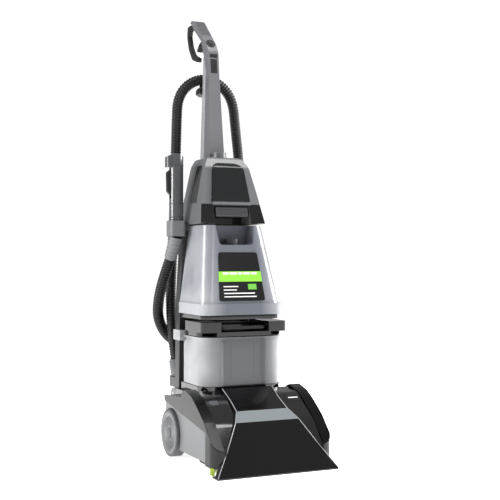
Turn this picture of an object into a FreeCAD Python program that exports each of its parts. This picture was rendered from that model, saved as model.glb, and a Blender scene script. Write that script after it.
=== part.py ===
import FreeCAD, Part
import math
import os
import Sketcher

# Upright carpet cleaner: a foot on two wheels with a nozzle and six turning brushes, a recovery
# tank that stands on the foot, and a handle that reclines and carries the clean water tank,
# the hand tool and the hose.
# Frame: +Z up, the front towards -Y, the machine's right towards +X, origin on the floor under
# the middle of the whole machine.

doc = FreeCAD.newDocument("carpet_cleaner")

# ---------------------------------------------------------------------------------------------
# Driving dimensions, in millimetres unless the note says otherwise
# ---------------------------------------------------------------------------------------------
DRIVING = [
    ("half_depth", 270, "floor middle to the lip's front edge, and to the cord hook's back"),
    ("datum_y", 12, "floor middle behind the datum that places along Y are measured from"),
    ("lip_half", 149, "half width of the nozzle lip"),
    ("wall", 3, "usual wall of a moulded part"),
    ("gap", 0.4, "play between parts that move past each other"),
    ("bore_play", 0.05, "radial play of a running shaft"),
    ("wheel_radius", 56.4, "outside of the tyre"),
    ("wheel_y", 38, "wheel axis behind the middle"),
    ("wheel_face", 154, "middle plane to a wheel's outer face"),
    ("wheel_width", 27, "tyre and hub across"),
    ("tyre_depth", 7, "thickness of the tyre's tread"),
    ("axle_radius", 5, "wheel axle"),
    ("base_half", 146, "half width of the foot's sides"),
    ("base_rear", 80, "back of the foot"),
    ("base_bottom", 24, "underside of the foot above the floor"),
    ("tub_half", 118, "half width of the foot's inner tub"),
    ("fender_half", 149, "half width over the fenders"),
    ("fender_inner", 122.5, "middle plane to a fender's inner face"),
    ("nozzle_depth", 14, "thickness of the suction nozzle, front to back"),
    ("nozzle_wall", 2.5, "wall of the nozzle's clear cover"),
    ("brush_y", 192, "row of brushes in front of the middle"),
    ("brush_pitch", 45, "distance between brush shafts"),
    ("brush_bottom", 3, "bristle tips above the floor"),
    ("gear_bottom", 24, "underside of the brush gears"),
    ("gear_width", 9, "face width of the brush gears"),
    ("shaft_radius", 3, "brush and rotor shafts"),
    ("seat_top", 174, "top of the seat that the recovery tank stands on"),
    ("bowl_half", 105, "half width of the recovery tank"),
    ("bowl_front", 61, "front of the recovery tank, before the middle"),
    ("bowl_rear", 73, "back of the recovery tank"),
    ("bowl_top", 290, "rim of the recovery tank"),
    ("bowl_wall", 2.5, "wall of the recovery tank"),
    ("lid_top", 326, "top of the recovery tank's lid"),
    ("frame_half", 103, "half width of the handle frame at its foot"),
    ("frame_front", 104, "front of the handle frame"),
    ("frame_rear", 134, "back of the handle frame"),
    ("pivot_y", 118, "recline axis behind the middle"),
    ("pivot_z", 138, "recline axis above the floor"),
    ("pivot_radius", 5, "recline pins"),
    ("shelf_bottom", 331, "underside of the clean tank's shelf"),
    ("tank_bottom", 342, "underside of the clean water tank"),
    ("tank_half", 104, "half width of the clean water tank above its band"),
    ("tank_top", 557, "top of the clean water tank"),
    ("tank_rear", 98, "back of the clean water tank"),
    ("tank_wall", 2.5, "wall of the clean water tank"),
    ("housing_top", 727, "top of the upper housing"),
    ("caddy_sill", 612, "lower edge of the hand tool's bay"),
    ("tool_radius", 40, "round head of the hand tool"),
    ("handle_half", 14, "half width of the handle at the grip"),
    ("handle_foot_half", 21, "half width of the handle at its foot"),
    ("hook_width", 10, "cord hook, side to side"),
    ("wand_radius", 17.5, "outside of the wand"),
    ("wand_x", 112, "wand axis left of the middle"),
    ("wand_y", 98, "wand axis behind the middle"),
    ("wand_bottom", 530, "lower end of the wand"),
    ("wand_top", 735, "upper end of the wand"),
    ("hose_diameter", 28, "outside of the hose"),
    ("hose_wall", 2.5, "wall of the hose"),
]

sheet = doc.addObject("Spreadsheet::Sheet", "Sizes")
for row, (alias, value, note) in enumerate(DRIVING, start=1):
    sheet.set(f"A{row}", str(value))
    sheet.setAlias(f"A{row}", alias)
    sheet.set(f"B{row}", note)
doc.recompute()


class Size:
    """A number together with the spreadsheet expression that gives it."""

    def __init__(self, value, text):
        self.value = value
        self.text = text

    @staticmethod
    def of(number):
        return number if isinstance(number, Size) else Size(float(number), f"({float(number)!r})")

    def joined(self, sign, other, value):
        return Size(value, f"({self.text} {sign} {Size.of(other).text})")

    def __add__(self, other):
        return self.joined("+", other, self.value + Size.of(other).value)

    def __sub__(self, other):
        return self.joined("-", other, self.value - Size.of(other).value)

    def __mul__(self, other):
        return self.joined("*", other, self.value * Size.of(other).value)

    def __truediv__(self, other):
        return self.joined("/", other, self.value / Size.of(other).value)

    def __radd__(self, other):
        return Size.of(other) + self

    def __rsub__(self, other):
        return Size.of(other) - self

    def __rmul__(self, other):
        return Size.of(other) * self

    def __neg__(self):
        return Size.of(0) - self


class Names:
    """The driving dimensions, one attribute each."""


d = Names()
for alias, value, note in DRIVING:
    setattr(d, alias, Size(float(value), f"Sizes.{alias}"))


class Circle:
    """A round loop of a sketch."""

    def __init__(self, u, v, radius):
        self.u, self.v, self.radius = Size.of(u), Size.of(v), Size.of(radius)


# ---------------------------------------------------------------------------------------------
# Sketches and features
# ---------------------------------------------------------------------------------------------
def bind(obj, prop, size):
    """Ties a property to its cells in the sheet."""
    obj.setExpression(prop, Size.of(size).text)


def corner_points(loop):
    """Each corner as (u, v, radius), with the radius 0 at a sharp one."""
    return [(Size.of(p[0]), Size.of(p[1]), Size.of(p[2] if len(p) > 2 else 0)) for p in loop]


def add_circle(sketch, circle):
    centre = FreeCAD.Vector(circle.u.value, circle.v.value, 0)
    ring = sketch.addGeometry(Part.Circle(centre, FreeCAD.Vector(0, 0, 1), circle.radius.value))
    places = [("DistanceX", circle.u), ("DistanceY", circle.v)]
    for kind, size in places:
        mark = sketch.addConstraint(Sketcher.Constraint(kind, -1, 1, ring, 3, size.value))
        bind(sketch, f"Constraints[{mark}]", size)
    mark = sketch.addConstraint(Sketcher.Constraint("Radius", ring, circle.radius.value))
    bind(sketch, f"Constraints[{mark}]", circle.radius)


def corner_arc(before, here, after, radius):
    """The arc that rounds a corner: its two ends, and the curve, with True if it turns left."""
    inward = (here - before).normalize()
    onward = (after - here).normalize()
    turn = inward.getAngle(onward)
    reach = radius * math.tan(turn / 2)
    left = inward.cross(onward).z > 0
    side = FreeCAD.Vector(-inward.y, inward.x, 0) * (radius if left else -radius)
    start, end = here - inward * reach, here + onward * reach
    centre = start + side
    angles = [math.atan2(p.y - centre.y, p.x - centre.x) for p in (start, end)]
    if not left:
        angles.reverse()
    ring = Part.Circle(centre, FreeCAD.Vector(0, 0, 1), radius)
    return start, end, Part.ArcOfCircle(ring, angles[0], angles[1]), left


def add_polygon(sketch, loop):
    """A closed outline of straight edges, each corner at its bound place, some of them rounded."""
    corners = corner_points(loop)
    count = len(corners)
    at = [FreeCAD.Vector(u.value, v.value, 0) for u, v, r in corners]
    arcs = {}
    for i, (u, v, r) in enumerate(corners):
        if r.value > 0:
            arcs[i] = corner_arc(at[i - 1], at[i], at[(i + 1) % count], r.value)
    lines = []
    for i in range(count):
        j = (i + 1) % count
        start = arcs[i][1] if i in arcs else at[i]
        end = arcs[j][0] if j in arcs else at[j]
        lines.append(sketch.addGeometry(Part.LineSegment(start, end)))
    for i, (u, v, r) in enumerate(corners):
        into, out = lines[i - 1], lines[i]
        if i in arcs:
            arc = sketch.addGeometry(arcs[i][2])
            first, last = (1, 2) if arcs[i][3] else (2, 1)
            sketch.addConstraint(Sketcher.Constraint("Tangent", into, 2, arc, first))
            sketch.addConstraint(Sketcher.Constraint("Tangent", arc, last, out, 1))
            mark = sketch.addConstraint(Sketcher.Constraint("Radius", arc, r.value))
            bind(sketch, f"Constraints[{mark}]", r)
            point = sketch.addGeometry(Part.Point(at[i]), True)
            sketch.addConstraint(Sketcher.Constraint("PointOnObject", point, 1, into))
            sketch.addConstraint(Sketcher.Constraint("PointOnObject", point, 1, out))
            held = (point, 1)
        else:
            sketch.addConstraint(Sketcher.Constraint("Coincident", into, 2, out, 1))
            held = (out, 1)
        for kind, size in (("DistanceX", u), ("DistanceY", v)):
            mark = sketch.addConstraint(Sketcher.Constraint(kind, -1, 1, *held, size.value))
            bind(sketch, f"Constraints[{mark}]", size)


def mirrored_outline(half):
    """A left-right symmetric outline from its right half, given from the bottom up."""
    left = [(-Size.of(p[0]), *p[1:]) for p in reversed(half)]
    return list(half) + left


def inset(loop, distance):
    """An outline moved inwards by a distance, corner by corner (a negative one moves it out)."""
    corners = corner_points(loop)
    at = [FreeCAD.Vector(u.value, v.value, 0) for u, v, r in corners]
    area = sum(at[i - 1].x * at[i].y - at[i].x * at[i - 1].y for i in range(len(at)))
    inside = 1 if area > 0 else -1
    moved = []
    for i, (u, v, r) in enumerate(corners):
        before = (at[i] - at[i - 1]).normalize()
        after = (at[(i + 1) % len(at)] - at[i]).normalize()
        n1 = FreeCAD.Vector(-before.y, before.x, 0) * inside
        n2 = FreeCAD.Vector(-after.y, after.x, 0) * inside
        step = (n1 + n2) / (1 + n1.dot(n2))
        convex = before.cross(after).z * inside > 0
        radius = r
        if r.value > 0:
            radius = r - distance if convex else r + distance
        moved.append((u + step.x * distance, v + step.y * distance, radius))
    return moved


NORMAL = {"XY_Plane": 1, "XZ_Plane": -1, "YZ_Plane": 1}


class Piece:
    """A PartDesign body built from sketches on its own origin planes.

    An outline in XY is (x, y), in XZ it is (x, z) and in YZ it is (y, z).
    """

    def __init__(self, label, at_datum=True):
        self.body = doc.addObject("PartDesign::Body", label)
        self.body.Label = label
        self.label = label
        self.steps = 0
        if at_datum:
            self.place()

    def sketch(self, plane, loops, offset=0):
        role = plane + "_Plane"
        self.steps += 1
        sketch = self.body.newObject("Sketcher::SketchObject", f"{self.label}_sketch_{self.steps}")
        origin = [o for o in self.body.Origin.OriginFeatures if o.Role == role][0]
        sketch.AttachmentSupport = [(origin, "")]
        sketch.MapMode = "FlatFace"
        bind(sketch, "AttachmentOffset.Base.z", Size.of(offset) * NORMAL[role])
        for loop in loops:
            if isinstance(loop, Circle):
                add_circle(sketch, loop)
            else:
                add_polygon(sketch, loop)
        return sketch

    def feature(self, kind):
        return self.body.newObject(f"PartDesign::{kind}", f"{self.label}_{kind.lower()}_{self.steps}")

    def pad(self, plane, loops, low, high):
        """Adds the outline's prism between two places along the plane's axis."""
        pad_sketch = self.sketch(plane, loops, low)
        pad = self.feature("Pad")
        pad.Profile = pad_sketch
        bind(pad, "Length", Size.of(high) - low)
        pad.Reversed = plane == "XZ"
        return self

    def pocket(self, plane, loops, low, high):
        """Cuts the outline's prism between two places, and makes sure that it took something."""
        before = self.volume()
        pocket_sketch = self.sketch(plane, loops, low if plane == "XZ" else high)
        pocket = self.feature("Pocket")
        pocket.Profile = pocket_sketch
        bind(pocket, "Length", Size.of(high) - low)
        if not self.volume() < before - 0.01:
            raise ValueError(f"{self.label}: pocket {self.steps} cuts nothing")
        return self

    def keep(self, plane, loop, low, high):
        """Cuts away whatever lies outside an outline."""
        reach = 1400
        around = [(-reach, -reach), (reach, -reach), (reach, reach), (-reach, reach)]
        return self.pocket(plane, [around, loop], low, high)

    def turn(self, plane, loop, axis):
        """Revolves an outline round one of its sketch's own axes."""
        turn_sketch = self.sketch(plane, [loop])
        turn = self.feature("Revolution")
        turn.Profile = turn_sketch
        turn.ReferenceAxis = (turn_sketch, [axis])
        turn.Angle = 360
        return self

    def pattern(self, kind, axis, count, span):
        """Repeats the last feature round Z (PolarPattern) or along an axis (LinearPattern)."""
        last = self.body.Tip
        pattern = self.feature(kind)
        pattern.Originals = [last]
        line = [o for o in self.body.Origin.OriginFeatures if o.Role == axis][0]
        if kind == "PolarPattern":
            pattern.Axis = (line, [""])
            pattern.Angle = span
        else:
            pattern.Direction = (line, [""])
            bind(pattern, "Length", span)
        pattern.Occurrences = count
        self.body.Tip = pattern
        return self

    def fillet(self, radius, chosen):
        """Rounds the edges that the test picks."""
        doc.recompute()
        last = self.body.Tip
        edges = last.Shape.Edges
        names = [f"Edge{i + 1}" for i, edge in enumerate(edges) if chosen(edge)]
        if not names:
            raise ValueError(f"{self.label}: no edge to round")
        fillet = self.feature("Fillet")
        fillet.Base = (last, names)
        bind(fillet, "Radius", radius)
        return self

    def place(self, x=0, y=0, z=0, turn=None):
        for letter, size in zip("xyz", (x, Size.of(y) - d.datum_y, z)):
            bind(self.body, f"Placement.Base.{letter}", size)
        if turn:
            axis, angle = turn
            self.body.Placement.Rotation = FreeCAD.Rotation(FreeCAD.Vector(*axis), angle)
            self.body.setExpression("Placement.Rotation.Angle", f"{angle!r}")
        return self

    def volume(self):
        doc.recompute()
        return self.body.Shape.Volume


def as_object(thing):
    return thing.body if isinstance(thing, Piece) else thing


def cut(label, base, *tools):
    """The base less its tools."""
    result = as_object(base)
    for number, tool in enumerate(tools, start=1):
        last = number == len(tools)
        made = doc.addObject("Part::Cut", label if last else f"{label}_cut_{number}")
        made.Base = result
        made.Tool = as_object(tool)
        result = made
    result.Label = label
    return result


def common(label, one, other):
    made = doc.addObject("Part::Common", label)
    made.Base = as_object(one)
    made.Tool = as_object(other)
    made.Label = label
    return made


def fused(label, *things):
    made = doc.addObject("Part::MultiFuse", label)
    made.Shapes = [as_object(thing) for thing in things]
    made.Label = label
    return made


def group(label, *things):
    """Several separate solids in one node."""
    made = doc.addObject("Part::Compound", label)
    made.Links = [as_object(thing) for thing in things]
    made.Label = label
    return made


def mirror(label, thing):
    """The same piece on the machine's other side."""
    made = doc.addObject("Part::Mirroring", label)
    made.Source = as_object(thing)
    made.Normal = FreeCAD.Vector(1, 0, 0)
    made.Label = label
    return made


def box(label, x, y, z):
    """A block between its low and high places along X, Y and Z."""
    made = doc.addObject("Part::Box", label)
    made.Label = label
    for prop, letter, (low, high) in zip(("Length", "Width", "Height"), "xyz", (x, y, z)):
        bind(made, prop, Size.of(high) - low)
        bind(made, f"Placement.Base.{letter}", low - d.datum_y if letter == "y" else low)
    return made


TURNS = {"Z": ((0, 0, 1), 0), "X": ((0, 1, 0), 90), "Y": ((1, 0, 0), -90)}


def rod(label, axis, radius, start, low, high):
    """A cylinder along X, Y or Z, between two places; start is its axis' other two places."""
    made = doc.addObject("Part::Cylinder", label)
    made.Label = label
    direction, angle = TURNS[axis]
    made.Placement.Rotation = FreeCAD.Rotation(FreeCAD.Vector(*direction), angle)
    bind(made, "Radius", radius)
    bind(made, "Height", Size.of(high) - low)
    places = list(start)
    places.insert("XYZ".index(axis), low)
    places[1] = places[1] - d.datum_y
    for letter, size in zip("xyz", places):
        bind(made, f"Placement.Base.{letter}", size)
    return made


def lengthwise(edge, axis, least):
    """True for a straight edge that runs mainly along an axis."""
    span = edge.BoundBox
    sizes = {"X": span.XLength, "Y": span.YLength, "Z": span.ZLength}
    return sizes[axis] >= least and sizes[axis] == max(sizes.values())


NODES = []


def node(thing):
    """Marks a finished sub-part."""
    NODES.append(as_object(thing))
    return thing


# ---------------------------------------------------------------------------------------------
# Foot: the nozzle
# ---------------------------------------------------------------------------------------------
# The nozzle's front is a sheet bent across the machine at two places; from the side it is a line
# of three runs, and from the front it narrows from the lip to a waist and widens a little above.
lip_height = Size.of(4)
front_y = d.datum_y - d.half_depth
rear_y = d.datum_y + d.half_depth
nozzle_foot_y = -front_y - 2
NOZZLE_LINE = [
    (-nozzle_foot_y, lip_height),
    (-193, 109),
    (-164, 130),
    (-80, 172),
]
NOZZLE_FRONT = mirrored_outline([
    (d.lip_half - 1, lip_height),
    (79, 109, 60),
    (62, 133, 40),
    (66, 174),
])
# Moving the line along this direction gives a sheet of nearly even thickness.
SHEET_Y, SHEET_Z = 0.78, -0.64


def sheet_outline(line, near, far):
    """The band between a bent line moved back by near and by far."""
    def moved(point, by):
        radius = point[2] if len(point) > 2 else 0
        return (point[0] + SHEET_Y * Size.of(by), point[1] + SHEET_Z * Size.of(by), radius)

    return [moved(p, near) for p in line] + [moved(p, far) for p in reversed(line)]


def bent_sheet(label, near, far, edge):
    """The nozzle's shape between two depths, with its sides moved in by edge."""
    across = Piece(f"{label}_across")
    line = [tuple(Size.of(v) for v in p) for p in NOZZLE_LINE]
    across.pad("YZ", [sheet_outline(line, near, far)], -d.lip_half, d.lip_half)
    along = Piece(f"{label}_along")
    along.pad("XZ", [inset(NOZZLE_FRONT, edge)], front_y - 20, 0)
    return common(label, across, along)


def make_nozzle():
    outer = bent_sheet("nozzle_outer", 0, d.nozzle_depth - d.nozzle_wall, 0)
    inner = bent_sheet("nozzle_inner", d.nozzle_wall, d.nozzle_depth + 10, d.nozzle_wall)
    # The air leaves the nozzle at the top, and comes in at the lip.
    inlet = box("nozzle_inlet", (-d.lip_half + 6, d.lip_half - 6),
                (-nozzle_foot_y + d.nozzle_wall, -nozzle_foot_y + d.nozzle_depth), (0, lip_height + 4))
    node(cut("nozzle_cover", outer, inner, inlet))
    back = bent_sheet("nozzle_back", d.nozzle_depth - d.nozzle_wall, d.nozzle_depth, 0)
    outlet = box("duct_outlet", (-30, 30), (-100, -84), (130, 175))
    node(cut("nozzle_duct", back, outlet))


lip_depth = 32


def make_lip():
    lip = Piece("nozzle_lip")
    front, rear = front_y, front_y + lip_depth
    outline = [(-d.lip_half, front, 4), (d.lip_half, front, 4), (d.lip_half, rear), (-d.lip_half, rear)]
    lip.pad("XY", [outline], 0, lip_height)
    slot_front, slot_rear = -nozzle_foot_y + 3, -nozzle_foot_y + 13
    slot = [(-d.lip_half + 9, slot_front), (d.lip_half - 9, slot_front),
            (d.lip_half - 9, slot_rear), (-d.lip_half + 9, slot_rear)]
    lip.pocket("XY", [slot], 0, lip_height)
    node(lip)


def nozzle_room():
    """The space that the nozzle and its duct need, with play, for cutting what is behind them."""
    return bent_sheet("nozzle_room", -30, d.nozzle_depth + d.gap, -d.gap)


# ---------------------------------------------------------------------------------------------
# Foot: base, hood and fenders
# ---------------------------------------------------------------------------------------------
base_front = -183
# The joint line between the foot's side and the fender, seen from the side.
SIDE_TOP = [(base_front, 91), (-127, 99.5), (-44, 110.5), (29, 121.5), (d.base_rear, 128)]


def make_chassis(room):
    base = Piece("base_body")
    outline = [(base_front, d.base_bottom), (d.base_rear, d.base_bottom, 14)] + SIDE_TOP[::-1]
    base.pad("YZ", [outline], -d.base_half, d.base_half)
    tub_front = -44
    tub = [(-d.base_half + d.wall, base_front - 1), (d.base_half - d.wall, base_front - 1),
           (d.base_half - d.wall, tub_front), (d.tub_half, tub_front),
           (d.tub_half, d.base_rear - d.wall), (-d.tub_half, d.base_rear - d.wall),
           (-d.tub_half, tub_front), (-d.base_half + d.wall, tub_front)]
    base.pocket("XY", [tub], d.base_bottom + d.wall, 140)
    # The brush housing fills the front of the floor.
    mouth = [(-d.base_half + d.wall, base_front - 1), (d.base_half - d.wall, base_front - 1),
             (d.base_half - d.wall, brush_block_rear + d.gap),
             (-d.base_half + d.wall, brush_block_rear + d.gap)]
    base.pocket("XY", [mouth], d.base_bottom - 1, d.base_bottom + d.wall)
    well = Circle(d.wheel_y, d.wheel_radius, d.wheel_radius + 3.5)
    well_inner = d.wheel_face - d.wheel_width - 3
    base.pocket("YZ", [well], -d.base_half, -well_inner)
    base.pocket("YZ", [well], well_inner, d.base_half)
    # Ears behind the tub carry the handle's pivot pins.
    ear_inner = d.frame_half + 1.5
    ear = [(d.base_rear - d.wall, 95), (d.pivot_y, 95, 20), (d.pivot_y + 15, d.pivot_z - 8, 12),
           (d.pivot_y + 15, d.pivot_z + 15, 14), (d.base_rear - d.wall, d.pivot_z + 15, 8)]
    base.pad("YZ", [ear], ear_inner, ear_inner + 9)
    base.pad("YZ", [ear], -ear_inner - 9, -ear_inner)
    pins = [Circle(d.pivot_y, d.pivot_z, d.pivot_radius)]
    pins.append(Circle(pedal_pivot_y, pedal_z, pedal_bar_radius))
    base.pocket("YZ", pins, -ear_inner - 9, -ear_inner)
    base.pocket("YZ", pins, ear_inner, ear_inner + 9)
    axle_hole = Circle(d.wheel_y, d.wheel_radius, d.axle_radius + d.bore_play)
    base.pocket("YZ", [axle_hole], -d.base_half, d.base_half)
    jets = [Circle(spray_step * k, spray_y, 3) for k in SPRAY_PLACES]
    base.pocket("XY", jets, d.base_bottom, d.base_bottom + d.wall)
    node(cut("base_chassis", base, room))


HOOD_LINE = [(-55, 165), (-103, 158, 45), (-180, 108.5, 90), (-237, 48)]


def hood_sheet(label, near, far, half):
    """The hood's bent line as a sheet between two depths."""
    line = [tuple(Size.of(v) for v in p) for p in HOOD_LINE]
    return Piece(label).pad("YZ", [sheet_outline(line, near, far)], -half, half)


def tray_outline():
    """The raised tray of the deck, seen from above."""
    rear = d.base_rear - 4
    return [(-d.bowl_half - 2, -d.bowl_front, 34), (d.bowl_half + 2, -d.bowl_front, 34),
            (d.bowl_half + 2, rear), (-d.bowl_half - 2, rear)]


def make_hood(room):
    hood = hood_sheet("hood_body", 0, d.wall, d.fender_inner - 0.7)
    tray_room = Piece("tray_room")
    tray_room.pad("XY", [inset(tray_outline(), -d.gap)], 120, 200)
    node(cut("foot_hood", hood, room, tray_room))


def make_fender():
    outline = [(84, 142), (81, 129), (29, 122.2), (-44, 111.2), (-127, 100.2), (-184, 91.8),
               (-236, 55), (-200, 89), (-178, 112), (-134, 142), (-102, 160), (-60, 171),
               (-42, 166), (-33, 152), (25, 147)]
    fender = Piece("left_fender")
    fender.pad("YZ", [outline], -d.fender_half, -d.fender_inner)
    edge = -d.fender_half - 0.6
    corner = [(edge, -234, 27), (0, -234), (0, 120), (edge, 120)]
    fender.keep("XY", corner, 0, 200)
    fender.pocket("YZ", [inset(outline, d.wall)], -d.fender_half + d.wall + 3, -d.fender_inner)
    node(fender)
    node(mirror("right_fender", fender))


brush_block_rear = -136
housing_top_z = 60


def make_brush_housing(room):
    top = housing_top_z
    body = Piece("brush_block")
    inner, outer = d.base_half - d.wall - d.gap, d.base_half + 2
    step = base_front - 0.5
    plan = mirrored_outline([(inner, brush_block_rear), (inner, step), (outer, step), (outer, -234, 27)])
    body.pad("XY", [plan], 18, 92)
    side = [(brush_block_rear, 18), (brush_block_rear, top), (base_front, top), (base_front, 91),
            (-236, 54), (-236, 18)]
    body.keep("YZ", side, -d.fender_half - 5, d.fender_half + 5)
    brush_room = d.brush_pitch / 2 + 3
    row = d.brush_pitch * 2.5 + brush_room
    gears = [(-row, -d.brush_y - brush_room, 20), (row, -d.brush_y - brush_room, 20),
             (row, -d.brush_y + brush_room, 20), (-row, -d.brush_y + brush_room, 20)]
    roof = d.gear_bottom + d.gear_width + 2
    body.pocket("XY", [gears], 18, roof)
    pinion_room = Circle(d.brush_pitch / 2, rotor_y(), 16)
    body.pocket("XY", [pinion_room], 18, roof)
    shafts = [Circle(brush_x(k), -d.brush_y, d.shaft_radius + d.bore_play) for k in range(6)]
    shafts.append(Circle(d.brush_pitch / 2, rotor_y(), d.shaft_radius + d.bore_play))
    body.pocket("XY", shafts, roof - 0.5, top + 40)
    hood_room = hood_sheet("hood_room", -30, d.wall + d.gap, d.fender_inner - 0.3)
    node(cut("brush_housing", body, room, hood_room))


def make_edge_bristles():
    """A short comb of bristles at each side of the brushes."""
    front = front_y + lip_depth + 0.2
    left = box("left_bristles", (-d.base_half - 1, -d.base_half + 5), (front, front + 20), (3, 18))
    right = box("right_bristles", (d.base_half - 5, d.base_half + 1), (front, front + 20), (3, 18))
    node(group("edge_bristles", left, right))


# ---------------------------------------------------------------------------------------------
# Foot: brushes and their drive
# ---------------------------------------------------------------------------------------------
BRUSH_TEETH = 18
PINION_TEETH = 10


def brush_x(index):
    """Shaft places from left to right, index 0 to 5."""
    return d.brush_pitch * (index - 2.5)


def pinion_radius():
    return d.brush_pitch / 2 * (PINION_TEETH / BRUSH_TEETH)


def rotor_y():
    """The rotor's pinion stands behind the fourth brush and meshes with its gear."""
    return -d.brush_y + d.brush_pitch / 2 + pinion_radius()


def tooth(radius, teeth, root):
    """One thin tooth that points along +X, for a pitch radius."""
    module = radius * 2 / teeth
    half = module * 0.62
    return [(root - 0.5, -half), (radius, -half * 0.98), (radius + module * 0.78, -half * 0.5),
            (radius + module * 0.78, half * 0.5), (radius, half * 0.98), (root - 0.5, half)]


def gear(piece, radius, teeth, low, high):
    module = radius * 2 / teeth
    root = radius - module * 1.05
    piece.pad("XY", [Circle(0, 0, root)], low, high)
    piece.pad("XY", [tooth(radius, teeth, root)], low, high)
    piece.pattern("PolarPattern", "Z_Axis", teeth, 360)


def make_brushes():
    """Six equal brushes; every second one is turned by half a tooth, so that the gears mesh."""
    model = Piece("brush_model", at_datum=False)
    gear(model, d.brush_pitch / 2, BRUSH_TEETH, d.gear_bottom, d.gear_bottom + d.gear_width)
    model.pad("XY", [Circle(0, 0, d.shaft_radius)], d.gear_bottom + d.gear_width, housing_top_z + 2)
    model.pad("XY", [Circle(0, 0, 17)], d.gear_bottom - 3, d.gear_bottom)
    model.pad("XY", [Circle(14, 0, 2.6)], d.brush_bottom, d.gear_bottom - 3)
    model.pattern("PolarPattern", "Z_Axis", 9, 360)
    for index in range(6):
        brush = group(f"brush_{index + 1}", model)
        bind(brush, "Placement.Base.x", brush_x(index))
        bind(brush, "Placement.Base.y", -d.brush_y - d.datum_y)
        half_tooth = 180 / BRUSH_TEETH
        angle = 0.0 if index % 2 else half_tooth
        brush.Placement.Rotation = FreeCAD.Rotation(FreeCAD.Vector(0, 0, 1), angle)
        node(brush)


def make_rotor():
    rotor = Piece("turbine_rotor")
    gear(rotor, pinion_radius(), PINION_TEETH, d.gear_bottom, d.gear_bottom + d.gear_width)
    rotor.pad("XY", [Circle(0, 0, d.shaft_radius)], d.gear_bottom + d.gear_width, 74)
    rotor.pad("XY", [Circle(0, 0, 8)], 70, 90)
    rotor.pad("XY", [[(7, -1), (19, -1), (19, 1), (7, 1)]], 72, 90)
    rotor.pattern("PolarPattern", "Z_Axis", 12, 360)
    rotor.place(d.brush_pitch / 2, rotor_y(), 0, turn=((0, 0, 1), -90.0))
    node(rotor)


def make_turbine_housing():
    case = Piece("turbine_housing")
    case.pad("XY", [Circle(0, 0, 24)], housing_top_z + 0.5, 96)
    case.pocket("XY", [Circle(0, 0, 21)], housing_top_z + 3, 93)
    case.pocket("XY", [Circle(0, 0, d.shaft_radius + 2)], housing_top_z, 64)
    # The turbine's air comes in at the side.
    case.pocket("XZ", [Circle(0, 80, 6)], 10, 30)
    case.place(d.brush_pitch / 2, rotor_y(), 0)
    node(case)


spray_y = -128
spray_step = 50
SPRAY_PLACES = (-1.5, -0.5, 0.5, 1.5)


def make_spray_bar():
    pipe_z = d.base_bottom + d.wall + 8
    pipe = rod("spray_pipe", "X", 4, (spray_y, pipe_z), -110, 110)
    jets = [rod(f"spray_jet_{i}", "Z", 2.5, (spray_step * k, spray_y), d.base_bottom, pipe_z)
            for i, k in enumerate(SPRAY_PLACES, start=1)]
    node(fused("spray_bar", pipe, *jets))


motor_x, motor_y = 48, -26
motor_case_radius, motor_case_top = 50, 150


def make_motor():
    low = d.base_bottom + d.wall
    case = Piece("motor_housing")
    case.pad("XY", [Circle(motor_x, motor_y, motor_case_radius)], low, motor_case_top)
    bore = Circle(motor_x, motor_y, motor_case_radius - d.wall)
    case.pocket("XY", [bore], low + d.wall, motor_case_top)
    case.pocket("XZ", [Circle(motor_x, 60, 9)], motor_y - 60, motor_y - 30)
    node(case)
    motor = Piece("suction_motor")
    motor.pad("XY", [Circle(motor_x, motor_y, 34)], low + d.wall, 95)
    motor.pad("XY", [Circle(motor_x, motor_y, 46)], 95, 125)
    motor.pad("XY", [Circle(motor_x, motor_y, 12)], 125, 140)
    node(motor)


def make_pump():
    low = d.base_bottom + d.wall
    body = box("pump_body", (-80, -44), (-70, -20), (low, low + 44))
    inlet = rod("pump_inlet", "Z", 5, (-62, -32), low + 44, low + 60)
    outlet = rod("pump_outlet", "Y", 5, (-62, low + 12), -90, -70)
    node(fused("solution_pump", body, inlet, outlet))


def make_seat():
    """The black deck behind the hood, with the raised tray that the recovery tank stands on."""
    deck = Piece("tank_seat")
    front, rear = -d.bowl_front + 8, d.base_rear - 4
    skirt = mirrored_outline([(d.fender_inner - 1, front), (d.fender_inner - 1, rear)])
    skirt_bottom = 129
    deck.pad("XY", [skirt], skirt_bottom, d.seat_top - 16)
    deck.pocket("XY", [inset(skirt, d.wall)], skirt_bottom, d.seat_top - 16 - d.wall)
    motor_room = Circle(motor_x, motor_y, motor_case_radius + d.gap)
    deck.pocket("XY", [motor_room], skirt_bottom, motor_case_top + d.gap)
    deck.pad("XY", [tray_outline()], d.seat_top - 16, d.seat_top)
    deck.pocket("XY", [inset(tray_outline(), d.wall)], d.seat_top - 16, d.seat_top - d.wall)
    node(deck)


# ---------------------------------------------------------------------------------------------
# Foot: wheels, pins, pedals and screws
# ---------------------------------------------------------------------------------------------
def make_wheel():
    """Turned about X: the hub's outer face is dished, and the tyre is a plain band."""
    outer, inner = -d.wheel_face, -d.wheel_face + d.wheel_width
    rim = d.wheel_radius - d.tyre_depth
    bore = d.axle_radius + d.bore_play
    hub = Piece("left_wheel")
    # In XY the outline's first place is along the axle and its second is the radius.
    section = [(outer + 6, bore), (outer + 6, 11), (outer + 1.5, 15, 2), (outer + 2.5, rim - 9, 3),
               (outer, rim - 5, 2), (outer, rim), (inner, rim), (inner, rim - 4), (inner - 10, rim - 5),
               (outer + 9, 15), (inner, 13), (inner, bore)]
    hub.turn("XY", section, "H_Axis")
    hub.place(0, d.wheel_y, d.wheel_radius)
    tyre = Piece("left_tyre")
    band = [(outer, rim), (outer, d.wheel_radius, 3), (inner, d.wheel_radius, 3), (inner, rim)]
    tyre.turn("XY", band, "H_Axis")
    tyre.place(0, d.wheel_y, d.wheel_radius)
    for piece, other in ((hub, "right_wheel"), (tyre, "right_tyre")):
        node(piece)
        node(mirror(other, piece))


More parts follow.
